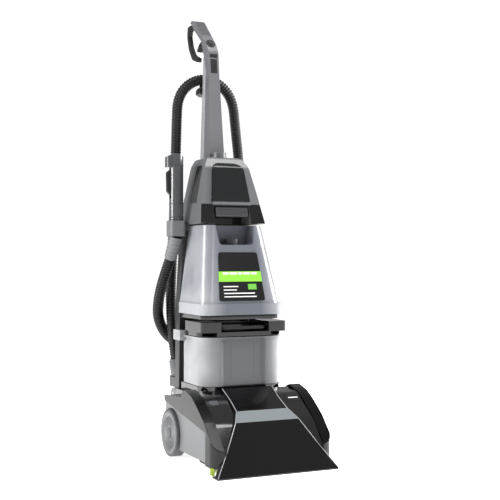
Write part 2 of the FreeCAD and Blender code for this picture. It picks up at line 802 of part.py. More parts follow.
def make_axle():
    end = d.wheel_face - 5
    node(rod("rear_axle", "X", d.axle_radius, (d.wheel_y, d.wheel_radius), -end, end))


pedal_pivot_y, pedal_z = Size.of(87), Size.of(104)
pedal_bar_radius = 2.5


def make_pivot_pins():
    inner, outer = d.frame_half - 14, d.frame_half + 10.5
    left = rod("left_pin", "X", d.pivot_radius, (d.pivot_y, d.pivot_z), -outer, -inner)
    right = rod("right_pin", "X", d.pivot_radius, (d.pivot_y, d.pivot_z), inner, outer)
    bar = rod("pedal_bar", "X", pedal_bar_radius, (pedal_pivot_y, pedal_z), -outer + 1, outer - 1)
    node(group("pivot_pins", left, right, bar))



def make_pedals():
    """Both pedals hang behind the tub, and tip down about a pin at their front."""
    for label, middle in (("power_pedal", -40), ("release_pedal", 40)):
        pedal = Piece(label)
        outline = [(pedal_pivot_y - 5, pedal_z - 5, 4), (pedal_pivot_y + 5, pedal_z - 5, 4),
                   (pedal_pivot_y + 40, pedal_z - 2, 3), (pedal_pivot_y + 40, pedal_z + 5, 3),
                   (pedal_pivot_y - 5, pedal_z + 5, 4)]
        pedal.pad("YZ", [outline], middle - 20, middle + 20)
        bore = Circle(pedal_pivot_y, pedal_z, pedal_bar_radius + d.bore_play)
        pedal.pocket("YZ", [bore], middle - 20, middle + 20)
        node(pedal)


def make_foot_screws():
    head = Piece("screw_model", at_datum=False)
    head.pad("XY", [Circle(0, 0, 4.5)], d.base_bottom - 2, d.base_bottom)
    head.pocket("XY", [[(-3, -0.6), (3, -0.6), (3, 0.6), (-3, 0.6)]], d.base_bottom - 2, d.base_bottom - 1)
    screws = []
    for index, (x, y) in enumerate([(-100, -110), (0, -110), (100, -110), (-100, 60), (0, 66), (100, 60)]):
        screw = group(f"foot_screw_{index + 1}", head)
        bind(screw, "Placement.Base.x", x)
        bind(screw, "Placement.Base.y", y - d.datum_y)
        screws.append(screw)
    node(group("foot_screws", *screws))


# ---------------------------------------------------------------------------------------------
# Recovery tank
# ---------------------------------------------------------------------------------------------
panel_half = 51


def bowl_outline():
    """Seen from above: big round front corners with a flat panel set back between them."""
    front = -d.bowl_front
    return mirrored_outline([
        (d.bowl_half, d.bowl_rear, 12), (d.bowl_half, front, 36), (panel_half + 6, front, 3),
        (panel_half - 1, front + 6, 3)])


def make_bowl():
    bowl = Piece("recovery_tank")
    low = d.seat_top + 0.5
    bowl.pad("XY", [bowl_outline()], low, d.bowl_top)
    rim = [(-d.bowl_half - 4, d.bowl_rear + 3, 14), (-d.bowl_half - 4, -d.bowl_front - 4, 40),
           (d.bowl_half + 4, -d.bowl_front - 4, 40), (d.bowl_half + 4, d.bowl_rear + 3, 14)]
    bowl.pad("XY", [rim], d.bowl_top - 5, d.bowl_top)
    bowl.pocket("XY", [inset(bowl_outline(), d.bowl_wall)], low + d.bowl_wall, d.bowl_top)
    # A rail at each side reaches back beyond the bowl.
    for low_x, high_x in ((-d.bowl_half - 14, -d.bowl_half), (d.bowl_half, d.bowl_half + 14)):
        rail = [(52, d.bowl_top - 14, 3), (100, d.bowl_top - 14, 3), (100, d.bowl_top + 11, 3),
                (52, d.bowl_top + 11, 3)]
        bowl.pad("YZ", [rail], low_x, high_x)
    node(bowl)


lid_bottom_gap = 2
bail_y, bail_drop = 6, 14
block_inner = 61


def make_lid():
    low = d.bowl_top + lid_bottom_gap
    lid = Piece("recovery_lid")
    # The plate keeps inside the tank's side rails.
    plate = mirrored_outline([(d.bowl_half - 0.5, d.bowl_rear + 2, 12), (d.bowl_half - 0.5, 44),
                              (d.bowl_half + 3, 44), (d.bowl_half + 3, -d.bowl_front - 3, 39)])
    lid.pad("XY", [plate], low, low + 10)
    block = [(block_inner, -d.bowl_front - 12, 4), (d.bowl_half + 5, -d.bowl_front - 12, 14),
             (d.bowl_half + 5, 46, 6), (block_inner, 46, 4)]
    other = [(-Size.of(p[0]), *p[1:]) for p in block]
    lid.pad("XY", [block], low + 10, d.lid_top)
    lid.pad("XY", [other], low + 10, d.lid_top)
    bridge = mirrored_outline([(block_inner + 2, 12), (block_inner + 2, 46)])
    lid.pad("XY", [bridge], low + 10, d.lid_top - 4)
    for loop in (block, other):
        lid.pocket("XY", [inset(inset(loop, 9), 0)], low, d.lid_top - d.wall)
    hinge = Circle(bail_y, d.lid_top - bail_drop, 3 + d.bore_play)
    lid.pocket("YZ", [hinge], -block_inner - 6, block_inner + 6)
    chute = Circle(0, float_y, 20)
    lid.pocket("XY", [chute], low, low + 6)
    node(lid)


def make_gasket():
    ring = Piece("lid_gasket")
    low, high = d.bowl_top + d.gap, d.bowl_top + lid_bottom_gap
    ring.pad("XY", [inset(bowl_outline(), 0.5)], low, high)
    ring.pocket("XY", [inset(bowl_outline(), d.bowl_wall + 1)], low, high)
    node(ring)


float_y = 14


def make_float():
    top = d.bowl_top + lid_bottom_gap
    cage = Piece("float_cage")
    cage.pad("XY", [Circle(0, float_y, 24)], 226, top)
    cage.pocket("XY", [Circle(0, float_y, 21.5)], 229, top)
    cage.pocket("XZ", [[(-8, 240), (8, 240), (8, 282), (-8, 282)]], float_y - 30, float_y + 30)
    cage.pocket("YZ", [[(float_y - 8, 240), (float_y + 8, 240), (float_y + 8, 282), (float_y - 8, 282)]],
                -30, 30)
    node(cage)
    node(rod("tank_float", "Z", 19, (0, float_y), 229.5, 258))


def make_bail():
    """A flat loop that lies between the lid's two blocks."""
    z = d.lid_top - bail_drop
    outer, inner = block_inner - 2, block_inner - 10
    loop = Piece("tank_bail")
    front = -d.bowl_front - 2
    outline = mirrored_outline([(outer, bail_y + 5, 3), (outer, front, 10), ])
    loop.pad("XY", [outline], z - 3.5, z + 3.5)
    hole = mirrored_outline([(inner, bail_y + 20), (inner, front + 9, 6)])
    loop.pocket("XY", [hole], z - 4, z + 4)
    loop.pad("YZ", [Circle(bail_y, z, 3)], outer - 2, block_inner + 4)
    loop.pad("YZ", [Circle(bail_y, z, 3)], -block_inner - 4, -outer + 2)
    node(loop)


# ---------------------------------------------------------------------------------------------
# Handle frame, shelf and clean water tank
# ---------------------------------------------------------------------------------------------
frame_top_z = 566
port_x, port_y, port_top = -81, 176, 176


def make_frame():
    frame = Piece("handle_frame")
    face = mirrored_outline([(d.frame_half, 120), (d.frame_half - 2, 365), (89, frame_top_z)])
    frame.pad("XZ", [face], d.frame_front, d.frame_rear)
    side = [(d.frame_front, d.pivot_z - 14, 13), (d.frame_rear - 1, d.pivot_z - 14, 13),
            (d.frame_rear, 300), (d.frame_rear + 4, frame_top_z), (d.frame_front, frame_top_z)]
    frame.keep("YZ", side, -d.frame_half - 5, d.frame_half + 5)
    bay = mirrored_outline([(d.frame_half - 18, 186), (d.frame_half - 18, 365), (76, 552)])
    frame.pocket("XZ", [bay], d.frame_front, d.frame_rear - 4)
    legs = mirrored_outline([(d.frame_half - 18, 110), (d.frame_half - 18, 176)])
    frame.pocket("XZ", [legs], d.frame_front - 1, d.frame_rear + 5)
    frame.pocket("YZ", [Circle(d.pivot_y, d.pivot_z, d.pivot_radius + d.bore_play)],
                 -d.frame_half - 5, d.frame_half + 5)
    # The hose plugs into a port behind the left upright.
    port = [(port_x - 19, d.frame_rear - 3), (port_x + 19, d.frame_rear - 3),
            (port_x + 19, port_y + 19, 18), (port_x - 19, port_y + 19, 18)]
    frame.pad("XY", [port], 150, port_top)
    frame.pocket("XY", [Circle(port_x, port_y, 12)], 154, port_top)
    return node(frame)


def make_shelf():
    shelf = Piece("tank_shelf")
    outline = [(-d.tank_half + 3, -d.bowl_front + 4, 24), (d.tank_half - 3, -d.bowl_front + 4, 24),
               (d.tank_half - 3, d.frame_front), (-d.tank_half + 3, d.frame_front)]
    shelf.pad("XY", [outline], d.shelf_bottom, d.tank_bottom - 0.5)
    shelf.pocket("XY", [inset(outline, 5)], d.shelf_bottom, d.tank_bottom - 0.5 - d.wall)
    node(shelf)


tank_band_top = 369
tank_top_half = 78
tank_foot_front = -59
tank_crown_front = -7


def tank_body(label, in_by, corner):
    """The clean tank's outer shape, moved in by in_by for its inside."""
    side = [(tank_foot_front, tank_band_top - 10), (d.tank_rear, tank_band_top - 10),
            (d.tank_rear, d.tank_top), (tank_crown_front, d.tank_top)]
    front = mirrored_outline([(d.tank_half, tank_band_top - 10), (tank_top_half, d.tank_top)])
    body = Piece(label)
    body.pad("YZ", [inset(side, in_by)], -d.tank_half - 1, d.tank_half + 1)
    body.keep("XZ", inset(front, in_by), -100, 200)
    body.fillet(corner, lambda edge: edge.BoundBox.ZLength > 120 and edge.BoundBox.YMax < 60)
    return body


def make_tank():
    outer = tank_body("tank_outer", 0, 26)
    band = Piece("tank_band")
    rear, front, half = d.tank_rear, Size.of(-63), d.tank_half + 3
    plan = [(-half, front, 24), (half, front, 24), (half, rear, 6), (-half, rear, 6)]
    band.pad("XY", [plan], d.tank_bottom, tank_band_top)
    whole = fused("tank_whole", outer, band)
    inner = tank_body("tank_inner", d.tank_wall, 26 - d.tank_wall)
    notch_floor = 509
    notch = Piece("tank_notch")
    window = mirrored_outline([(44, notch_floor, 9), (53, d.tank_top + 12)])
    notch.pad("XZ", [window], -60, 34)
    guard = Piece("notch_guard")
    guard.pad("XZ", [inset(window, -d.tank_wall)], -60, 34 + d.tank_wall)
    hollow = cut("tank_hollow", inner, guard)
    band_room = Piece("band_room")
    band_room.pad("XY", [inset(plan, d.tank_wall)], d.tank_bottom + d.tank_wall, tank_band_top - d.tank_wall)
    neck = rod("tank_neck", "Z", 16, (0, 14), notch_floor - 10, notch_floor + 5)
    node(cut("solution_tank", whole, notch, hollow, band_room, neck))
    cap = Piece("fill_cap")
    cap.pad("XY", [Circle(0, 14, 19)], notch_floor + 0.4, notch_floor + 15)
    cap.pad("XY", [Circle(0, 14, 16 - 0.4)], notch_floor - 6, notch_floor + 0.4)
    grips = [Circle(19.6, 14, 1.3)]
    cap.pocket("XY", grips, notch_floor + 1, notch_floor + 16)
    node(cap)


# ---------------------------------------------------------------------------------------------
# Upper housing with the hand tool's bay
# ---------------------------------------------------------------------------------------------
HOUSING_FACE = [(88, 545), (76, 622), (57, 706, 18), (44, 727, 14)]
# The housing's front leans back: its foot carries on from the clean tank's face.
HOUSING_LINE = [(-1, 560), (16, 609), (38, 700), (56, 727)]


# A round collar stands on the housing in front of the handle's foot.
collar_y, collar_radius = 90, 17
collar_top = d.housing_top + 12


def housing_front(z_low, z_high):
    """Places on the front line of the bay between two heights."""
    low, high = HOUSING_LINE[1], HOUSING_LINE[2]
    slope = (high[0] - low[0]) / (high[1] - low[1])
    return [(low[0] + slope * (z - low[1]), z) for z in (z_low, z_high)]


def housing_outline():
    return mirrored_outline([(x, z, *r) for x, z, *r in HOUSING_FACE[:-1]] +
                            [(44, d.housing_top, 14)])


LATCH_PIVOT = (20, 598)
latch_half, latch_pin_radius = 42, 1.5


def make_housing():
    rear = d.frame_rear + 6
    body = Piece("housing_body")
    side = [(d.tank_rear + 1, 545), (rear, 545), (rear, d.housing_top), (58, d.housing_top, 12),
            (37, 698, 30), (16, 609), (0, 562), (24, 560), (d.tank_rear + 1, d.tank_top + 3)]
    body.pad("YZ", [side], -90, 90)
    body.keep("XZ", housing_outline(), -20, 160)
    bay = mirrored_outline([(51, d.caddy_sill, 4), (40, 712, 22)])
    body.pocket("XZ", [bay], -20, d.frame_front - 2)
    under = mirrored_outline([(latch_half + 5, 540), (latch_half + 5, 605, 6)])
    body.pocket("XZ", [under], -20, 60)
    latch_bore = [Circle(*LATCH_PIVOT, latch_pin_radius + d.bore_play)]
    body.pocket("YZ", latch_bore, -latch_half - 8, latch_half + 8)
    window = [(48, 612, 4), (96, 612, 4), (96, 706, 10), (58, 706, 10)]
    body.pocket("YZ", [window], -90, -40)
    body.pocket("YZ", [window], 40, 90)
    # Room behind the frame's top, which the housing sits over.
    frame_room = box("frame_room", (-90, 90), (d.frame_front - 1, d.frame_rear + 4.5), (540, frame_top_z + 0.5))
    hollow = box("housing_hollow", (-38, 38), (d.frame_front + 1, rear - d.wall), (frame_top_z + 5, 716))
    bar = Piece("sill_bar")
    bar_line = [(10, 606, 2), (60, 606), (60, 612), (10, 614, 2)]
    bar.pad("YZ", [bar_line], -50, 50)
    cleared = cut("housing_cleared", body, frame_room, hollow)
    collar = rod("handle_collar", "Z", collar_radius, (0, collar_y), d.housing_top - 6, collar_top)
    node(fused("upper_housing", cleared, bar, collar))
    panes = Piece("pane_body")
    panes.pad("YZ", [inset(window, 0.2)], -90, 90)
    panes.keep("XZ", inset(housing_outline(), 0.6), 0, 150)
    middle = Piece("pane_middle")
    middle.pad("XZ", [inset(housing_outline(), 3.1)], 0, 150)
    node(cut("side_windows", panes, middle))


def make_caddy_cover():
    """The clear front cover: a leaning plate with a short rim that turns back into the bay."""
    cover = Piece("cover_outer")
    foot, head = housing_front(d.caddy_sill.value + 2, 711)
    depth = 12
    # The rim is shallow at its foot, so that it clears the bay's sides as the cover tips.
    outer = [(foot[0] - 7, foot[1], 2), (head[0] - 7, head[1], 22), (head[0] + depth, head[1]),
             (foot[0] - 1, foot[1])]
    face = mirrored_outline([(50, d.caddy_sill + 2.4, 3), (39.4, 711, 22)])
    cover.pad("YZ", [outer], -60, 60)
    cover.keep("XZ", face, -40, 120)
    inner = Piece("cover_inner")
    inner.pad("YZ", [inset(outer[:2] + [(head[0] + 40, head[1]), (foot[0] + 40, foot[1])], 2.2)], -60, 60)
    inner.keep("XZ", inset(face, 2.2), -40, 120)
    node(cut("caddy_cover", cover, inner))


tool_y, tool_z = 66, 655


def make_hand_tool():
    tool = Piece("hand_tool_body")
    z = tool_z
    tool.pad("XZ", [Circle(0, z, d.tool_radius)], tool_y - 20, tool_y + 22)
    flat = [(-60, z - 60), (60, z - 60), (60, z - 30), (-60, z - 30)]
    tool.pocket("XZ", [flat], tool_y - 22, tool_y + 24)
    brush_room = Circle(tool_y, brush_axis_z, 12)
    tool.pocket("YZ", [brush_room], -34, 34)
    tool.pad("XZ", [Circle(0, z + 6, 16)], tool_y + 22, tool_y + 34)
    pin = [Circle(tool_y, brush_axis_z, 2)]
    tool.pad("YZ", pin, 31.5, 34)
    tool.pad("YZ", pin, -34, -31.5)
    node(tool)
    roller = Piece("hand_tool_brush")
    roller.pad("YZ", [Circle(tool_y, brush_axis_z, 8)], -31, 31)
    roller.pocket("YZ", [Circle(tool_y, brush_axis_z, 2 + d.bore_play)], -31, 31)
    node(roller)


brush_axis_z = 634


def make_latch():
    """The ribbed grip that lets the clean tank go; it tips about the pins at its upper edge."""
    latch = Piece("tank_latch")
    outline = [(6, 577, 5), (20, 577, 4), (26, 600, 3), (13, 602, 3)]
    latch.pad("YZ", [outline], -latch_half, latch_half)
    grooves = []
    for k in range(3):
        z, y = 582 + 6 * k, 7.4 + 1.7 * k
        grooves.append([(y - 3, z), (y + 1.3, z), (y + 1.3, z + 2.4), (y - 3, z + 2.4)])
    latch.pocket("YZ", grooves, -38, 38)
    pin = [Circle(*LATCH_PIVOT, latch_pin_radius)]
    latch.pad("YZ", pin, latch_half - 1, latch_half + 7.5)
    latch.pad("YZ", pin, -latch_half - 7.5, -latch_half + 1)
    node(latch)


# ---------------------------------------------------------------------------------------------
# Handle
# ---------------------------------------------------------------------------------------------
GRIP_LINE = [(102, 727.5), (107, 760), (123, 947), (128, 1000, 40), (137, 1018, 60), (169, 1049, 200),
             (226, 1101, 26), (250, 1106, 8), (256, 1098, 5), (218, 1069, 90), (176, 1037, 26),
             (164, 1008, 40)]
handle_split = 146


def handle_widths(edge):
    return mirrored_outline([(d.handle_foot_half - edge, 700), (d.handle_half - edge, 947),
                             (d.handle_half - edge, 1140)])


# The pins that the trigger and the cord hook turn on, as (y, z).
TRIGGER_PIVOT, HOOK_PIVOT = (Size.of(176), Size.of(1032)), (rear_y - 30, Size.of(1088))
grip_pin_radius = 1.5


def pin_bore(pivot):
    return Circle(*pivot, grip_pin_radius + d.bore_play)


def make_handle():
    front = Piece("handle_front_outer")
    outline = GRIP_LINE + [(handle_split + 1, 960), (handle_split, 727.5)]
    front.pad("YZ", [outline], -d.handle_foot_half, d.handle_foot_half)
    front.keep("XZ", handle_widths(0), 80, 280)
    room = Piece("handle_front_inner")
    inner = inset(outline, d.wall)
    inner[-2] = (handle_split + 3, 960)
    inner[-1] = (handle_split + 3, 720)
    inner[0] = (inner[0][0], 720)
    room.pad("YZ", [inner], -d.handle_foot_half, d.handle_foot_half)
    room.keep("XZ", handle_widths(d.wall), 80, 280)
    slot = Piece("trigger_slot")
    slot.pad("YZ", [[(150, 1008), (214, 1020), (214, 1066), (186, 1054), (168, 1040)]], -6.6, 6.6)
    button = rod("button_hole", "Z", 8.4, (0, 0), 0, 14)
    place_on_neck(button, -6)
    hook_slot = box("hook_slot", (-d.handle_half - 1, -d.handle_half + d.hook_width + 1.6), (240, 270),
                    (1066, 1098))
    collar_room = rod("collar_room", "Z", collar_radius + 0.2, (0, collar_y), 700, collar_top + 0.2)
    cleared = cut("handle_front_cleared", front, room, slot, button, hook_slot, collar_room)
    side = d.handle_half - 0.5
    trigger_pin = rod("trigger_pin", "X", grip_pin_radius, TRIGGER_PIVOT, -side, side)
    hook_pin = rod("hook_pin", "X", grip_pin_radius, HOOK_PIVOT, -side + 1, side)
    node(fused("handle_front", cleared, trigger_pin, hook_pin))
    back = Piece("handle_back_outer")
    rear_line = [(handle_split + 0.2, 727.5), (170, 727.5), (168, 949), (166, 985, 60), (163.5, 1004, 3),
                 (handle_split + 1.2, 960)]
    back.pad("YZ", [rear_line], -d.handle_foot_half, d.handle_foot_half)
    back.keep("XZ", handle_widths(0), 80, 280)
    back_room = Piece("handle_back_inner")
    back_room.pad("YZ", [[(handle_split - 5, 720), (167, 720), (165, 949), (handle_split - 5, 949)]],
                  -d.handle_foot_half, d.handle_foot_half)
    back_room.keep("XZ", handle_widths(d.wall), 80, 280)
    node(cut("handle_back", back, back_room))
    return back


NECK_TILT = 44.0
neck_y, neck_z = 146, 1029


def place_on_neck(thing, outwards):
    """Stands a piece on the sloping front of the neck, with its own Z along the slope's normal."""
    tilt = math.radians(NECK_TILT)
    thing.Placement.Rotation = FreeCAD.Rotation(FreeCAD.Vector(1, 0, 0), NECK_TILT)
    bind(thing, "Placement.Base.y", neck_y - math.sin(tilt) * outwards - d.datum_y)
    bind(thing, "Placement.Base.z", neck_z + math.cos(tilt) * outwards)


def make_surge_button():
    button = Piece("surge_button")
    button.pad("XY", [Circle(0, 0, 8)], -3.5, 3)
    button.fillet(1.2, lambda edge: edge.BoundBox.ZMax > 2.9 and edge.BoundBox.ZLength < 0.1)
    place_on_neck(button.body, 0)
    node(button)


def make_trigger():
    trigger = Piece("solution_trigger")
    outline = [(171, 1036, 3), (172, 1014, 3), (201, 1014, 6), (230, 1021, 3), (213, 1038, 20), (190, 1044, 3)]
    trigger.pad("YZ", [outline], -6, 6)
    trigger.pocket("YZ", [pin_bore(TRIGGER_PIVOT)], -6, 6)
    node(trigger)
    node(rod("trigger_rod", "Z", 2.5, (0, 140), 745, 1000))


def make_cord_hook():
    hook = Piece("cord_hook")
    low = -d.handle_half + 0.8
    rear = rear_y
    outline = [(rear - 36, 1095, 3), (rear - 5, 1095, 6), (rear, 1070, 30), (rear - 13, 1032, 40),
               (rear - 38, 1001, 30), (203, 988, 4), (199, 998, 4), (rear - 46, 1013, 30),
               (rear - 25, 1040, 30), (rear - 15, 1068, 10), (rear - 19, 1081, 4), (rear - 36, 1081, 3)]
    hook.pad("YZ", [outline], low, low + d.hook_width)
    hook.pocket("YZ", [pin_bore(HOOK_PIVOT)], low, low + d.hook_width)
    node(hook)


def make_hose_hook(back):
    """A saddle on the handle's back that the hose hangs over."""
    hook = Piece("saddle_body")
    saddle = mirrored_outline([(12, 896), (22, 902, 4), (20, 914, 4), (12, 922, 10)])
    hook.pad("XZ", [saddle], 168.2, 198)
    lip = mirrored_outline([(10, 900), (10, 940, 8)])
    hook.pad("XZ", [lip], 196, 200)
    node(cut("hose_hook", hook, back))


def make_gland():
    gland = Piece("cord_gland")
    section = [(0, 9), (0, 0), (24, 0), (24, 5), (6, 7), (6, 9)]
    gland.turn("XY", [(p[0], p[1]) for p in reversed(section)], "H_Axis")
    gland.body.Placement.Rotation = FreeCAD.Rotation(FreeCAD.Vector(0, 0, 1), 90)
    bind(gland.body, "Placement.Base.x", 44)
    bind(gland.body, "Placement.Base.y", d.frame_rear + 6 - d.datum_y)
    bind(gland.body, "Placement.Base.z", 600)
    node(gland)


# ---------------------------------------------------------------------------------------------
# Wand, holder and hose
# ---------------------------------------------------------------------------------------------
def make_wand(frame):
    x, y = -d.wand_x, d.wand_y
    wand = Piece("wand")
    wand.pad("XY", [Circle(x, y, d.wand_radius)], d.wand_bottom, d.wand_top)
    head = [(x - 27, y - 12, 5), (x, y - 12), (x, y + 12), (x - 27, y + 12, 5)]
    wand.pad("XY", [head], d.wand_top - 34, d.wand_top - 3)
    wand.pocket("XY", [Circle(x, y, d.wand_radius - d.wall)], d.wand_bottom + 26, d.wand_top)
    # The open end is cut at a slant.
    slant = [(x - 40, d.wand_top + 2), (x - 6, d.wand_top + 2), (x - 40, d.wand_top - 16)]
    slant_right = [(x - 6, d.wand_top + 2), (x + 30, d.wand_top - 14), (x + 30, d.wand_top + 2)]
    wand.pocket("XZ", [slant], y - 30, y + 30)
    wand.pocket("XZ", [slant_right], y - 30, y + 30)
    side = x - d.wand_radius
    lever_room = [(side - 1, 624), (side + 9, 624), (side + 9, 700), (side - 1, 700)]
    wand.pocket("XZ", [lever_room], y - 6.6, y + 6.6)
    node(wand)
    lever = Piece("wand_trigger")
    outline = [(side + 2, 630, 2), (side - 7, 641, 5), (side - 8, 688, 5), (side + 2, 697, 2)]
    lever.pad("XZ", [outline], y - 6, y + 6)
    node(lever)
    holder = Piece("holder_body")
    low, high = 531, 569
    plan = [(x - 20.5, y - 20, 8), (x + 15, y - 20, 8), (-90.3, y - 8), (-90.3, y + 24), (x - 20.5, y + 20, 8)]
    holder.pad("XY", [plan], low, high)
    holder.pocket("XY", [Circle(x, y, d.wand_radius + 0.2)], low, high)
    node(cut("wand_holder", holder, frame))


# The hose's route from the port at the frame's lower left, up the left side, over its hook, down
# the right side, round behind the frame and up to the wand's lower end.
HOSE_ROUTE = [
    (-81, 176, 196), (-91, 178, 262), (-98, 181, 366), (-92, 183, 484), (-85, 184, 610),
    (-82, 183, 740), (-80, 182, 828), (-77, 182, 888), (-47, 182, 928), (0, 182, 944),
    (47, 182, 928), (77, 182, 888), (84, 182, 820), (96, 181, 712), (94, 184, 590), (92, 187, 515),
    (89, 191, 445), (84, 195, 380), (74, 200, 318), (36, 212, 265), (-25, 220, 245),
    (-88, 216, 265), (-127, 196, 318), (-134, 168, 376), (-129, 140, 430), (-119, 116, 482),
    (-112, 98, 530),
]
route_turn_share = 0.45


def route_wire(points):
    """Straight runs joined by tangent arcs, each as large as its two runs allow."""
    edges, radii = [], []
    here = points[0]
    for before, corner, after in zip(points, points[1:], points[2:]):
        inward, onward = corner - before, after - corner
        turn = inward.getAngle(onward)
        reach = route_turn_share * min(inward.Length, onward.Length)
        radii.append(reach / math.tan(turn / 2))
        start = corner - FreeCAD.Vector(inward).normalize() * reach
        end = corner + FreeCAD.Vector(onward).normalize() * reach
        to_centre = (FreeCAD.Vector(onward).normalize() - FreeCAD.Vector(inward).normalize()).normalize()
        middle = corner + to_centre * (radii[-1] / math.cos(turn / 2) - radii[-1])
        edges.append(Part.LineSegment(here, start).toShape())
        edges.append(Part.Arc(start, middle, end).toShape())
        here = end
    edges.append(Part.LineSegment(here, points[-1]).toShape())
    return Part.Wire(edges), radii


def make_hose():
    end = (-d.wand_x.value, d.wand_y.value, d.wand_bottom.value)
    points = [FreeCAD.Vector(x, y - d.datum_y.value, z) for x, y, z in HOSE_ROUTE[:-1] + [end]]
    wire, radii = route_wire(points)
    radius = d.hose_diameter.value / 2
    start = points[0]
    along = points[1] - points[0]
    rings = [Part.Wire(Part.makeCircle(r, start, along)) for r in (radius, radius - d.hose_wall.value)]
    outer, inner = [wire.makePipeShell([ring], True, False) for ring in rings]
    hose = doc.addObject("Part::Feature", "hose")
    hose.Shape = outer.cut(inner)
    hose.Label = "hose"
    section = math.pi * (radius ** 2 - (radius - d.hose_wall.value) ** 2)
    print(f"hose length {wire.Length:.0f} mm, volume over section times length"
          f" {hose.Shape.Volume / (section * wire.Length):.4f}")
    print("hose radii", " ".join(f"{r:.0f}" for r in radii))
    node(hose)
    cuff = Piece("cuff_body")
    turn = FreeCAD.Rotation(FreeCAD.Vector(0, 0, 1), along)
    section = [(0, -24), (17.5, -24), (18, -8), (16, 24), (0, 24)]
    cuff.turn("XZ", section, "V_Axis")
    cuff.pocket("XY", [Circle(0, 0, d.hose_diameter / 2)], 0, 24)
    cuff.body.Placement.Rotation = turn
    for letter, place in zip("xyz", start):
        bind(cuff.body, f"Placement.Base.{letter}", place)
    # The cuff stands flat on the port.
    port_room = box("port_room", (port_x - 30, port_x + 30), (port_y - 30, port_y + 30),
                    (port_top - 30, port_top + 0.2))
    node(cut("hose_cuff", cuff, port_room))


room = nozzle_room()
make_nozzle()
make_lip()
make_chassis(room)
make_hood(room)
make_fender()
make_brush_housing(room)
make_edge_bristles()
make_brushes()
make_rotor()
make_turbine_housing()
make_spray_bar()
make_motor()
make_pump()
make_seat()
make_wheel()
make_axle()
make_pivot_pins()
make_pedals()
make_foot_screws()
make_bowl()
make_lid()
make_gasket()
make_float()
make_bail()
frame = make_frame()
make_shelf()
make_tank()
make_housing()
make_caddy_cover()
make_hand_tool()
make_latch()
handle_back = make_handle()
make_surge_button()
make_trigger()
make_cord_hook()
make_hose_hook(handle_back)
make_gland()
make_wand(frame)
make_hose()

doc.recompute()
faults = [obj.Label for obj in doc.Objects if "Invalid" in obj.State or "Error" in obj.State]
for part in NODES:
    shape = part.Shape
    if shape.isNull() or not shape.isValid() or shape.Volume < 1 or not shape.Solids:
        faults.append(f"{part.Label} shape")
if faults:
    raise ValueError("failed: " + ", ".join(faults))

os.makedirs("parts", exist_ok=True)
for part in NODES:
    part.Shape.exportStep(f"parts/{part.Label}.step")
print(len(NODES), "nodes")
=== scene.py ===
"""Upright carpet cleaner: looks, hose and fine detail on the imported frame."""
import math
import random

import bmesh
import bpy
from mathutils import Matrix, Vector


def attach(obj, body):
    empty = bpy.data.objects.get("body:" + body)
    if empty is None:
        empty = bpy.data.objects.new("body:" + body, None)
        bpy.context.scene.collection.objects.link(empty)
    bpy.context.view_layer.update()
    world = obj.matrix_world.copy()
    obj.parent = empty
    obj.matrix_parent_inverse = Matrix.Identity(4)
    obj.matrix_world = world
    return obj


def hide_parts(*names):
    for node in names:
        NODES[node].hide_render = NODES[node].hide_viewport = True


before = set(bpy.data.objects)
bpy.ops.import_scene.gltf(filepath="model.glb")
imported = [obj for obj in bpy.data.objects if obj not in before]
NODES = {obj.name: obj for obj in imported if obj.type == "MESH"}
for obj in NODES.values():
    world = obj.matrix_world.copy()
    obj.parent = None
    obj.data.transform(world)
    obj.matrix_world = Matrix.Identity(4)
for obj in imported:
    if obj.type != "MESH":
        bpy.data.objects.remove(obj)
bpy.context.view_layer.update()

bl_info = {
    "name": "Upright Carpet Cleaner",
    "version": (1, 0, 0),
    "blender": (4, 5, 0),
    "location": "View3D > Sidebar > Cleaner",
    "description": "Finishes, hose and fine detail for an upright carpet cleaner",
    "category": "Object",
}

MM = 0.001


# -----------------------------------------------------------------------------------------
# Colours and nodes
# -----------------------------------------------------------------------------------------
def linear(code):
    """An sRGB hex colour as the linear red, green and blue that the renderer works in."""
    parts = [int(code[i:i + 2], 16) / 255 for i in (1, 3, 5)]
    return [p / 12.92 if p <= 0.04045 else ((p + 0.055) / 1.055) ** 2.4 for p in parts]


def add(tree, kind, inputs=None, **settings):
    """Adds a node with its settings, and links or sets its inputs."""
    node = tree.nodes.new(kind)
    for name, value in settings.items():
        setattr(node, name, value)
    for name, value in (inputs or {}).items():
        if isinstance(value, bpy.types.NodeSocket):
            tree.links.new(value, node.inputs[name])
        else:
            node.inputs[name].default_value = value
    return node


def new_material(name, colour, roughness, **sockets):
    """A material with one Principled shader; sockets are named as words joined by _."""
    material = bpy.data.materials.new(name)
    material.use_nodes = True
    tree = material.node_tree
    shader = tree.nodes["Principled BSDF"]
    shader.inputs["Base Color"].default_value = (*colour, 1)
    shader.inputs["Roughness"].default_value = roughness
    for key, value in sockets.items():
        socket = shader.inputs[key.replace("_", " ")]
        socket.default_value = (*value, 1) if socket.type == "RGBA" else value
    material.diffuse_color = (*colour, 1)
    return material, tree, shader


def object_places(tree, scale=1.0):
    """Object coordinates, in metres times a scale."""
    places = add(tree, "ShaderNodeTexCoord").outputs["Object"]
    return add(tree, "ShaderNodeMapping", {"Vector": places, "Scale": (scale,) * 3}).outputs[0]


